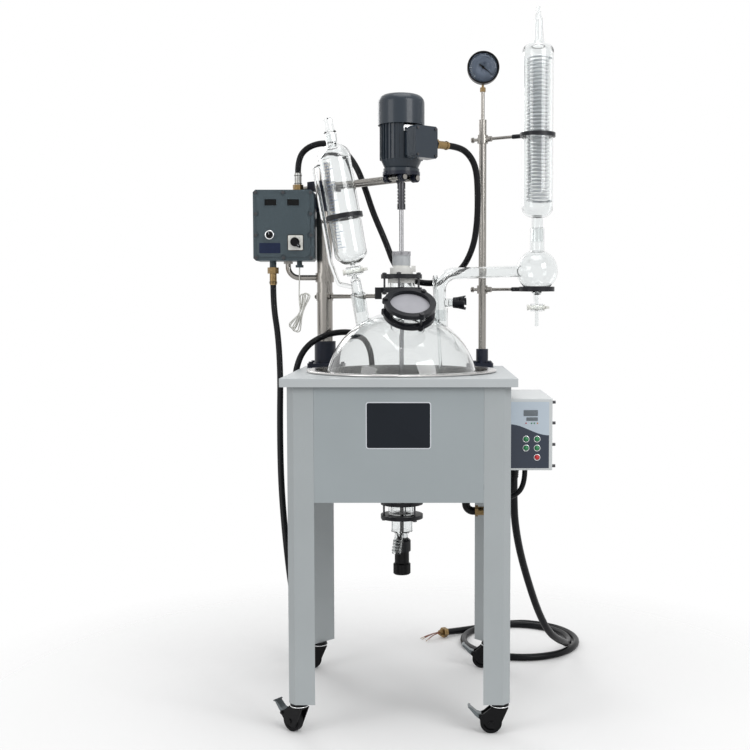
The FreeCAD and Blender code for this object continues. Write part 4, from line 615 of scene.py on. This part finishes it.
def clear_glass(name, tint=GLASS_TINT, shade=GLASS_SHADE, bend=GLASS_BEND):
    """Borosilicate glass that lets lamp light through to what it holds."""
    f = smooth_glass(name, tint, bend)
    f.surface(f.lit_through(shade))
    return f.material


COVER_MIDDLE, COVER_REACH = (0.0291, -0.1682, 1.2281), 0.064      # of the manhole's cover


def fitting_glass(name, centre, reach):
    """Clear glass, ground and cloudy within a reach of the manhole's cover."""
    f = smooth_glass(name)
    away = f.node("ShaderNodeVectorMath", {"operation": "DISTANCE"}, i0=f.place, i1=centre)["Value"]
    tone = f.mix(f.noise(14.0), srgb(140, 140, 146), srgb(180, 180, 186))
    ground = f.node("ShaderNodeBsdfPrincipled", {}, **{"Base Color": tone, "Roughness": 0.45})["BSDF"]
    f.surface(f.blend(away.below(reach), f.lit_through(GLASS_SHADE), ground))
    return f.material


PRINT_RIGHT, PRINT_LOW, PRINT_HIGH = 0.4316, 0.757, 0.950
PRINT_BEFORE = -0.2255     # depth that the printed face lies in front of
WAVE_MEAN, WAVE_DEPTH, WAVE_CENTRE, WAVE_PITCH = 0.8690, 0.0160, 0.374, 27.318


def panel_enamel(name, case):
    """Bath box: pale enamel, with a printed front of light blue over navy parted by a slow wave.

    The wave's height is mean - depth * sin((x - centre) * pitch); the print stops at its edges."""
    f = Finish(name, case, 0.34, Coat_Weight=0.2, Coat_Roughness=0.2)
    x, y, z = f.xyz()
    wave = WAVE_MEAN - WAVE_DEPTH * ((x - WAVE_CENTRE) * WAVE_PITCH).math("SINE", None)
    inside = x.below(PRINT_RIGHT) * z.above(PRINT_LOW) * z.below(PRINT_HIGH) * y.below(PRINT_BEFORE)
    printed = f.mix(z.above(wave), srgb(28, 40, 58), srgb(188, 200, 211))
    f.set("Base Color", f.mix(inside, f.clouded(f.noise(7.0, 4.0), case, 0.93), printed))
    f.set("Roughness", 0.30 + 0.12 * f.noise(23.0))
    f.bump(f.noise(800.0, 2.0), 0.06, 0.0005)
    return f.material


def frosted(name, tint, roughness, through):
    """Cloudy glass: ground skin that scatters what is seen through it."""
    f = Finish(name, tint, roughness, IOR=1.45, Transmission_Weight=through)
    f.set("Roughness", roughness - 0.06 + 0.12 * f.noise(30.0))
    f.set("Base Color", f.clouded(f.noise(18.0), tint, 0.92))
    f.bump(f.noise(500.0), 0.05, 0.0004)
    return f.material


def dress(material, *nodes):
    """Gives a material to CAD nodes or to new pieces."""
    for node in nodes:
        piece = NODES[node] if isinstance(node, str) else node
        piece.data.materials.clear()
        piece.data.materials.append(material)


def dressed(material, name, shape, slot, body=BASE, smooth=True):
    """A new piece with its material, from a shape's points and faces."""
    dress(material, mesh_piece(name, *shape, slot, body, smooth))


PAINT = sheet_paint("frame_paint", srgb(168, 174, 176))
# The apron's copy of the frame's grey paint, a little darker: painted shade on the same paint.
SHADED_APRON_PAINT = sheet_paint("shaded_apron_paint", srgb(158, 166, 169), 0.38)
BOX_PAINT = cast_enamel("box_enamel", srgb(66, 78, 84), 0.34, 420.0, 0.30)
MOTOR_PAINT = cast_enamel("motor_enamel", srgb(34, 44, 54), 0.30, 520.0, 0.12, 0.35)
NAVY = cast_enamel("casting_enamel", srgb(16, 22, 38), 0.30, 300.0, 0.20)
CLAMP = cast_enamel("clamp_enamel", srgb(10, 12, 19), 0.34, 300.0, 0.12)
BATH_STEEL = drawn_steel("bath_steel", (0.58, 0.57, 0.56), 0.22, (1, 1, 0.05), 0.14)
ROD_STEEL = drawn_steel("rod_steel", (0.30, 0.285, 0.265), 0.24, (1, 1, 0.03))
BOLT_STEEL = drawn_steel("bolt_steel", (0.08, 0.08, 0.085), 0.30, (1, 1, 1))
SHAFT_STEEL = shaft_steel("shaft_steel")
SEAL = seal_body("seal_body")
FITTINGS = fitting_glass("fitting_glass", COVER_MIDDLE, COVER_REACH)
HEATED = drawn_steel("heater_sheath", (0.42, 0.38, 0.34), 0.34, (1, 1, 1))
BRASS = gland_metal("gland_brass", srgb(150, 126, 88))
PTFE = moulded("white_fluoropolymer", srgb(232, 232, 226), 0.42, 400.0, 0.05)
SLEEVE = moulded("conduit_sheath", srgb(13, 14, 17), 0.30, 600.0, 0.10, shine=0.16)
LEAD = moulded("lead_sheath", srgb(214, 214, 208), 0.40)
BLACK = moulded("black_phenolic", srgb(12, 12, 14), 0.30, shine=0.16)
TYRE = moulded("wheel_tread", srgb(16, 16, 18), 0.55, 500.0, 0.2, shine=0.16)
GREEN = moulded("green_cap", srgb(38, 128, 76), 0.28)
RED = moulded("red_cap", srgb(190, 34, 40), 0.28)
GLASS = clear_glass("borosilicate")
COIL_GLASS = frosted("coil_borosilicate", srgb(172, 178, 182), 0.16, 0.6)
COVER_GLASS = clear_glass("gauge_cover_glass", (0.92, 0.93, 0.94), 0.9, 1.08)
CORES = moulded("core_insulation", srgb(126, 74, 52), 0.4)
PEDAL = drawn_steel("pedal_zinc", (0.17, 0.19, 0.20), 0.34, (1, 1, 1), 0.2)
FROST = frosted("ground_glass", srgb(206, 206, 210), 0.38, 0.55)
BATH_ENAMEL = panel_enamel("bath_box_enamel", srgb(208, 212, 213))
PRINT_NAVY = moulded("navy_print", srgb(30, 40, 66), 0.35, shine=0.16)
PRINT_BLACK = moulded("black_print", srgb(26, 31, 38), 0.30, shine=0.16)
PRINT_PALE = moulded("pale_print", srgb(216, 220, 226), 0.35)
SCREEN = moulded("dark_screen", srgb(10, 12, 13), 0.12, shine=0.16)
GREY_SCREEN = moulded("grey_screen", srgb(104, 112, 118), 0.25)
# The table top's copy of the frame's grey paint, made lighter: painted light where the top faces up.
LIT_TOP_PAINT = sheet_paint("lit_top_paint", srgb(186, 191, 193))
CHROME = drawn_steel("bright_chrome", (0.86, 0.87, 0.88), 0.09, (1, 1, 1), 0.04)
DIAL = moulded("dial_face", srgb(74, 82, 94), 0.40, shine=0.16)
MARKS = moulded("dial_marks", srgb(196, 202, 208), 0.45)
SCALE = moulded("blue_scale", srgb(120, 140, 172), 0.45)
AMBER = moulded("amber_lens", srgb(190, 120, 40), 0.2)

dress(PAINT, "frame_legs")
dress(SHADED_APRON_PAINT, "apron_panels")
dress(LIT_TOP_PAINT, "table_top")
dress(BOX_PAINT, "control_box")
dress(MOTOR_PAINT, "motor_body", "fan_cover")
dress(NAVY, "column_castings", "motor_plate")
dress(CLAMP, "clamp_rings", "holder_rings")
dress(BATH_STEEL, "bath_pan")
dress(ROD_STEEL, "columns", "support_rods")
dress(SHAFT_STEEL, "stirrer_shaft")
dress(FROST, "seal_nut")
dress(BATH_ENAMEL, "bath_controller")
dress(BOLT_STEEL, "fasteners")
dress(HEATED, "bath_heater")
dress(BRASS, "brass_fittings", "cord_glands")
dress(BLACK, "castor_tops", "gauge_case")
dress(SEAL, "neck_seals")
dress(PTFE, "stirrer_paddle", "funnel_key", "bulb_tap_key")
dress(BLACK, "bath_drain", "speed_knob", "selector_knob", "discharge_handle", "gauge_needle")
dress(GLASS, "flask", "vapour_tube", "condenser", "addition_funnel", "discharge_neck")
dress(FITTINGS, "glass_fittings")
dress(GREEN, "button_a", "button_b", "button_c", "button_d")
dress(RED, "button_power")
dress(LEAD, sensor_lead)
for corner in ("fl", "fr", "rl", "rr"):
    dress(BLACK, "castor_fork_" + corner)
    dress(TYRE, "castor_wheel_" + corner)
    dress(PEDAL, "castor_pedal_" + corner)
dress(SLEEVE, box_hose, motor_hose, heater_hose, mains_hose, boot)
dress(CORES, cores)
dress(BRASS, core_ends)


# Condenser: close-wound coil

COIL_AXIS = (0.430, 0.155)
COIL_LOW, COIL_HIGH, COIL_TURNS = 1.558, 2.012, 40
HELIX_RADIUS, TUBE_RADIUS, END_RADIUS = 0.0325, 0.0040, 0.0038
END_INSET = 0.002      # height between the helix's end and its tube end


def cooling_coil():
    """Helix of glass tube: an angle that grows evenly along the height, from one jacket end to the other."""
    x, y = COIL_AXIS
    angle = np.linspace(0, 2 * np.pi * COIL_TURNS, COIL_TURNS * 30)
    path = np.c_[x + HELIX_RADIUS * np.cos(angle), y + HELIX_RADIUS * np.sin(angle),
                 COIL_LOW + (COIL_HIGH - COIL_LOW) * angle / angle[-1]]
    ends = [swept([(0.4625, y, z), (0.470, y, z), (0.4762, y, z)], END_RADIUS, 10)
            for z in (COIL_LOW + END_INSET, COIL_HIGH - END_INSET)]
    piece = mesh_piece("cooling_coil", *merge(swept(path, TUBE_RADIUS, 8), *ends), slot="glass")
    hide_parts("condenser_coil")
    dress(COIL_GLASS, piece)


cooling_coil()


# Control box: windows, plates, knob ring

BOX_FACE = 0.187                # depth of its front face
WINDOW_FLOOR = 0.191            # depth of the floors of its window openings
WINDOWS = (-0.427, -0.354)      # their middles across
WINDOW_HEIGHT = 1.559
KNOB = (-0.431, 1.455)          # middle of the speed knob, across and up
SWITCH = (-0.347, 1.430)        # middle of the switch's plate
HUB = (-0.001, 0.002)           # middle of the switch's lever, from the plate's
PLATE_FACE, LEVER_FACE = 0.1858, 0.1660     # depths of the switch's plate and of its lever's front
KNOB_FOOT, KNOB_FACE = 0.1842, 0.1720       # depths of the speed knob's ends


def circle(radius, like, centre):
    """Points on a circle, one for each point of another outline, at that point's angle."""
    angle = np.arctan2(like[:, 1] - centre[1], like[:, 0] - centre[0])
    return np.array(centre) + radius * compass(angle)


def box_front():
    """Dark windows, label plate, switch plate with its black frame, and the ring round the speed knob."""
    screens = [pad(0.0376, 0.0196, 0.0015, 0.0014, 0.0004, front(x, WINDOW_FLOOR, WINDOW_HEIGHT))
               for x in WINDOWS]
    dressed(SCREEN, "box_screens", merge(*screens), "black_plastic")
    outer, inner = rounded_outline(0.0450, 0.0270, 0.003), rounded_outline(0.0386, 0.0206, 0.001)
    frames = [holed(outer, inner, 0.0010, front(x, BOX_FACE, WINDOW_HEIGHT)) for x in WINDOWS]
    dressed(BOX_PAINT, "screen_frames", merge(*frames), "box_grey", smooth=False)
    label = pad(0.068, 0.033, 0.0015, 0.0008, 0.0003, front(-0.430, BOX_FACE, 1.4125))
    dressed(PRINT_NAVY, "box_label", label, "navy_cast")
    at = front(SWITCH[0], BOX_FACE, SWITCH[1])
    outer, inner = rounded_outline(0.052, 0.052, 0.004, 9), rounded_outline(0.048, 0.048, 0.003, 9)
    dressed(BLACK, "switch_frame", holed(outer, inner, 0.0016, at), "black_plastic", smooth=False)
    white = holed(inner * 0.998, circle(0.0046, inner, HUB), 0.0012, at)
    dressed(PTFE, "switch_plate", white, "white_ptfe", smooth=False)
    hub = (SWITCH[0] + HUB[0], PLATE_FACE, SWITCH[1] + HUB[1])
    marks = [pointer(hub, 0.0190, degrees, 0.0010, 0.0030, 0.0004, 0.0003, 0.0001)
             for degrees in (45, 90, 135, -45)]
    dressed(PRINT_BLACK, "switch_marks", merge(*marks), "black_plastic")
    ring = [(0.0098, 0.0), (0.0152, 0.0), (0.0150, 0.0009), (0.0141, 0.0018), (0.0128, 0.0022),
            (0.0112, 0.0022), (0.0098, 0.0016)]
    dressed(CHROME, "speed_ring", closed_ring(ring, front(KNOB[0], BOX_FACE, KNOB[1])), "steel")


def knob_details():
    """Ribs round the speed knob, a white line on its face, and the white dash on the switch's lever."""
    at = front(KNOB[0], KNOB_FOOT, KNOB[1])
    ribs = [turned_part([(0.0007, 0.0), (0.0007, 0.0105), (0.0004, 0.0112)], at, 8,
                        (0.0089 * math.cos(a), 0.0089 * math.sin(a))) for a in full_turn(21)]
    dressed(BLACK, "knob_ribs", merge(*ribs), "black_plastic", "speed")
    line = pad(0.0012, 0.0072, 0.0005, 0.0003, 0.0001, front(KNOB[0], KNOB_FACE, KNOB[1] + 0.0040))
    dressed(PRINT_PALE, "knob_line", line, "white_ptfe", "speed")
    hub = (SWITCH[0] + HUB[0], LEVER_FACE, SWITCH[1] + HUB[1])
    dash = pointer(hub, 0.0170, -45, 0.0012, 0.0080, 0.0005, 0.0003, 0.0001)
    dressed(PRINT_PALE, "lever_dash", dash, "white_ptfe", "selector")


box_front()
knob_details()


# Bath box: displays, lamps, button rings

BATH_FACE = -0.226     # depth of its front face
LAMPS = (0.365, 0.381, 0.389, 0.398)
BUTTONS = ((0.365, 0.842), (0.397, 0.842), (0.365, 0.816), (0.397, 0.816), (0.397, 0.789))


def bath_front():
    """Two displays, four lamps and a bright ring round each button."""
    shows = [pad(0.041, 0.017, 0.001, 0.0012, 0.0004, front(0.3785, BATH_FACE, 0.9175)),
             pad(0.033, 0.010, 0.001, 0.0010, 0.0004, front(0.3825, BATH_FACE, 0.9000))]
    dressed(GREY_SCREEN, "bath_screens", merge(*shows), "black_plastic")
    dome = [(0.0020, 0.0), (0.0020, 0.0006), (0.0014, 0.0013), (0.0006, 0.0016)]
    lamps = [turned_part(dome, front(x, BATH_FACE, 0.888), 16) for x in LAMPS]
    dressed(RED, "lamp_red", lamps[0], "red_plastic")
    dressed(GREEN, "lamps_green", merge(*lamps[1:3]), "green_plastic")
    dressed(AMBER, "lamp_amber", lamps[3], "red_plastic")
    ring = [(0.00745, 0.0), (0.0100, 0.0), (0.0098, 0.0012), (0.0090, 0.0020), (0.0081, 0.0020),
            (0.00745, 0.0013)]
    rings = [closed_ring(ring, front(x, BATH_FACE, z), 40) for x, z in BUTTONS]
    dressed(CHROME, "button_rings", merge(*rings), "steel")


def name_plates():
    """Bare plates: pale border and dark field on the apron, and a bent silver one round the motor."""
    at = front(-0.001, -0.3165, 0.891)
    dressed(PRINT_PALE, "plate_border", pad(0.184, 0.133, 0.008, 0.0009, 0.0004, at), "white_ptfe")
    dressed(PRINT_BLACK, "plate_field", pad(0.178, 0.127, 0.0055, 0.0012, 0.0003, at), "black_paint")
    strip = wrapped(seat((0, 0, 0), (0, -1, 0), (1, 0, 0)), 0.0664, 0.0009, (8, 68), (1.7480, 1.7715), 25)
    dressed(CHROME, "motor_plate_bare", strip, "steel")


bath_front()
name_plates()


# Gauge: dial, ticks, glass, rim

GAUGE = (0.260, 1.997)      # its middle, across and up
DIAL_DEPTH, TICK_DEPTH, GLASS_DEPTH, RIM_DEPTH = 0.234, 0.2336, 0.2298, 0.2276
TICKS, TICK_START, TICK_STEP = 31, 225, 9       # count, degrees, degrees


def gauge_face():
    """Dial with ticks over three quarters of a turn, flat glass, and a rounded rim."""
    dial_at, glass_at, rim_at = (front(GAUGE[0], depth, GAUGE[1])
                                 for depth in (DIAL_DEPTH, GLASS_DEPTH, RIM_DEPTH))
    dial = closed_ring([(0.0023, 0.0), (0.0472, 0.0), (0.0472, 0.0004), (0.0023, 0.0004)], dial_at)
    dressed(DIAL, "gauge_dial", dial, "black_paint")
    ticks = []
    for k in range(TICKS):
        long, wide = (0.0030, 0.0007) if k % 5 else (0.0055, 0.0010)
        ticks.append(pointer((GAUGE[0], TICK_DEPTH, GAUGE[1]), 0.0420 - long / 2, TICK_START - TICK_STEP * k,
                             wide, long, 0.0002, 0.00015, 0.00005))
    dressed(MARKS, "gauge_ticks", merge(*ticks), "white_ptfe")
    glass = turned_part([(0.0470, 0.0), (0.0470, 0.0010), (0.0468, 0.0012)], glass_at, 64)
    dressed(COVER_GLASS, "gauge_glass", glass, "glass")
    rim = [(0.0490, 0.0), (0.0518, -0.0040), (0.0523, -0.0030), (0.0520, 0.0004), (0.0510, 0.0010),
           (0.0495, 0.0008), (0.0490, 0.0004)]
    dressed(BLACK, "gauge_rim", closed_ring(rim, rim_at, 72), "black_paint")


gauge_face()


# Funnel scale

FUNNEL_FOOT, FUNNEL_LEAN = (-0.1206, 0.0, 1.183), 9.6      # degrees from upright
SCALE_START, SCALE_STEP, SCALE_LINES = 0.225, 0.0095, 28


def funnel_scale():
    """Short lines up the funnel's front, every fifth one longer."""
    tilt = math.radians(FUNNEL_LEAN)
    at = seat(FUNNEL_FOOT, (0, -1, 0), (math.cos(tilt), 0, math.sin(tilt)))
    lines = []
    for k in range(SCALE_LINES):
        z = SCALE_START + SCALE_STEP * k
        span = 20.0 if k % 5 else 34.0
        lines.append(wrapped(at, 0.0496, 0.0002, (-44, span - 44), (z, z + 0.0016), 7))
    dressed(SCALE, "funnel_lines", merge(*lines), "glass")


funnel_scale()


# Glands and outlet: rings and threads

GLAND_TAILS = [     # foot, two directions across it, radius, heights of its seal rings
    ((-0.428, 0.245, 1.332), (1, 0, 0), (0, -1, 0), 0.0115, (0.026, 0.030)),
    ((-0.344, 0.245, 1.621), (1, 0, 0), (0, 1, 0), 0.0115, (0.003, 0.028)),
    ((0.1092, -0.0420, 1.7103), (0.6101, -0.7923, 0), (0, 0, 1), 0.0120, (0.003, 0.007, 0.030))]
THREAD_FROM, THREAD_STEP, THREAD_COUNT = 0.010, 0.0022, 6


def gland_rings():
    """Dark seal rings on the glands' tails, and fine threads between hexagon and tail."""
    rings, threads = [], []
    for foot, right, up, r, places in GLAND_TAILS:
        at = seat(foot, right, up)
        for z in places:
            rings.append(closed_ring([(r - 0.0002, z), (r + 0.0016, z + 0.0003), (r + 0.0019, z + 0.0012),
                                      (r + 0.0016, z + 0.0021), (r - 0.0002, z + 0.0024)], at, 40))
        for k in range(THREAD_COUNT):
            z = THREAD_FROM + THREAD_STEP * k
            ridge = [(r - 0.0003, z), (r + 0.0006, z + 0.0007), (r - 0.0003, z + 0.0014)]
            threads.append(closed_ring(ridge, at, 32))
    dressed(BLACK, "gland_seals", merge(*rings), "black_rubber")
    dressed(BRASS, "gland_threads", merge(*threads), "brass")


SPOUT_FOOT, SPOUT_WAY = (-0.005, -0.014, 0.534), (-0.012, -0.040, -0.075)


def spout_thread():
    """Rounded glass ribs round the outlet's slanting spout."""
    way = np.array(SPOUT_WAY) / np.linalg.norm(SPOUT_WAY)
    right = np.cross(way, UP)
    at = seat(SPOUT_FOOT, right, np.cross(way, right))
    ribs = [closed_ring([(0.0140, z), (0.0156, z + 0.0008), (0.0161, z + 0.0022), (0.0156, z + 0.0036),
                         (0.0140, z + 0.0044)], at, 40) for z in (0.036, 0.046, 0.056, 0.066)]
    dressed(GLASS, "spout_ribs", merge(*ribs), "glass")


gland_rings()
spout_thread()


# Studs and castors: threads and bright race rings

STUD_RADIUS, STUD_PITCH, STUD_DEPTH = 0.00295, 0.0012, 0.0004
ACROSS, BACK = (1.0, 0.0, 0.0), (0.0, 1.0, 0.0)
STUD_ROWS = [       # middle, two directions across, way along, circle's radius, degrees, start and end along
    ((0.0, 0.0, 0.0), ACROSS, BACK, UP, 0.053, (-7, 83, 173, 263), (1.2832, 1.3092)),
    ((0.0, 0.0, 0.0), ACROSS, BACK, UP, 0.057, (195, 315, 75), (0.5815, 0.6125)),
    ((0.0, 0.0, 0.975), (0.9854, 0.1702, 0.0), (-0.1411, 0.8169, 0.5592), (0.0952, -0.5510, 0.8290), 0.072,
     (-70, 50, 170), (0.2802, 0.3052))]


def threaded(low, high):
    """Stud with a thread drawn as rings: radius that rises and falls evenly along it."""
    length = np.linalg.norm(high - low)
    way = (high - low) / length
    right = np.cross(way, (0.3, 0.5, 0.8) if way[2] > 0.9 else UP)
    right /= np.linalg.norm(right)
    edges = np.arange(2 * int(length / STUD_PITCH) + 1)
    profile = np.c_[STUD_RADIUS + STUD_DEPTH * (edges % 2), np.linspace(0, length, len(edges))]
    return turned_part(profile, (low, right, np.cross(way, right), way), 20)


def stud_threads():
    """Threads on the bare middle of the clamps' studs."""
    studs = []
    for middle, across, up, way, reach, turns, (start, end) in STUD_ROWS:
        for a in np.radians(turns):
            foot = middle + reach * (math.cos(a) * np.array(across) + math.sin(a) * np.array(up))
            studs.append(threaded(foot + np.array(way) * start, foot + np.array(way) * end))
    dressed(BOLT_STEEL, "stud_threads", merge(*studs), "steel_dark")


CASTOR = 0.288          # distance of each castor's axis from the middle, across and back
RACE_HEIGHT = 0.0795


def race_rings():
    """Bright ring round each castor's upper race."""
    ring = [(0.0263, 0.0), (0.0274, 0.0004), (0.0276, 0.0014), (0.0274, 0.0024), (0.0263, 0.0028)]
    rings = [closed_ring(ring, seat((x, y, RACE_HEIGHT), ACROSS, BACK), 48)
             for x in (-CASTOR, CASTOR) for y in (-CASTOR, CASTOR)]
    dressed(CHROME, "race_rings", merge(*rings), "steel")


stud_threads()
race_rings()


# Studio

GROUND = ((-6.0, 6.0), (-5.0, 6.0))      # its reach across and back
FADE_FROM = 0.6                          # radius from which it turns clear over one metre
AIR_ON_PARTS, AIR_SEEN = 0.55, 0.45      # the sky's strength, and what is added where it is seen
STUDIO_LAMPS = [     # name, place, aim, size, power
    ("lamp_right", (2.6, -2.8, 2.9), (0.0, 0.0, 1.0), 2.0, 62.0),
    ("lamp_left", (-3.0, -2.4, 2.2), (0.0, 0.0, 1.1), 1.8, 24.0),
    ("lamp_top", (0.2, -0.4, 4.2), (0.0, 0.0, 1.0), 2.2, 40.0),
    ("lamp_back", (-1.6, 2.8, 2.6), (0.0, 0.0, 1.2), 1.6, 20.0)]


def white_ground():
    """Flat white ground that fades into the backdrop with the distance from the middle."""
    x, y = np.meshgrid(*GROUND, indexing="ij")
    data = bpy.data.meshes.new("ground")
    data.from_pydata(np.c_[x.ravel(), y.ravel(), np.zeros(4)].tolist(), [], [[0, 2, 3, 1]])
    ground = bpy.data.objects.new("ground", data)
    bpy.context.collection.objects.link(ground)
    f = Finish("ground_white", (0.92, 0.92, 0.92), 0.9)
    away = f.node("ShaderNodeVectorMath", {"operation": "LENGTH"}, i0=f.place)["Value"]
    clear = f.node("ShaderNodeBsdfTransparent", {})["BSDF"]
    f.surface(f.blend((away - FADE_FROM).clipped(), f.own_shader(), clear))
    data.materials.append(f.material)


def white_air():
    """White backdrop that is brighter where it is seen, mirrored or looked at through glass."""
    world = bpy.data.worlds.new("studio_air")
    world.use_nodes = True
    bpy.context.scene.world = world
    tree = world.node_tree
    air = tree.nodes["Background"]
    ray = tree.nodes.new("ShaderNodeLightPath")
    seen = Wire(tree, ray.outputs["Is Camera Ray"])
    for name in ("Is Glossy Ray", "Is Transmission Ray"):
        seen = seen.math("MAXIMUM", Wire(tree, ray.outputs[name]))
    air.inputs["Color"].default_value = (1.0, 1.0, 1.0, 1.0)
    tree.links.new((AIR_ON_PARTS + seen * AIR_SEEN).socket, air.inputs["Strength"])


def soft_lamps():
    """Soft lamps from the front right, the left, above and behind, each turned to its aim."""
    for name, place, aim, size, power in STUDIO_LAMPS:
        lamp = bpy.data.lights.new(name, "AREA")
        lamp.size = size
        lamp.energy = power
        holder = bpy.data.objects.new(name, lamp)
        way = np.array(aim) - np.array(place)
        way /= np.linalg.norm(way)
        holder.location = place
        holder.rotation_euler = (math.acos(-way[2]), 0.0, math.atan2(way[0], -way[1]) + math.pi)
        bpy.context.collection.objects.link(holder)


white_ground()
white_air()
soft_lamps()
bpy.context.scene.view_settings.view_transform = "Standard"
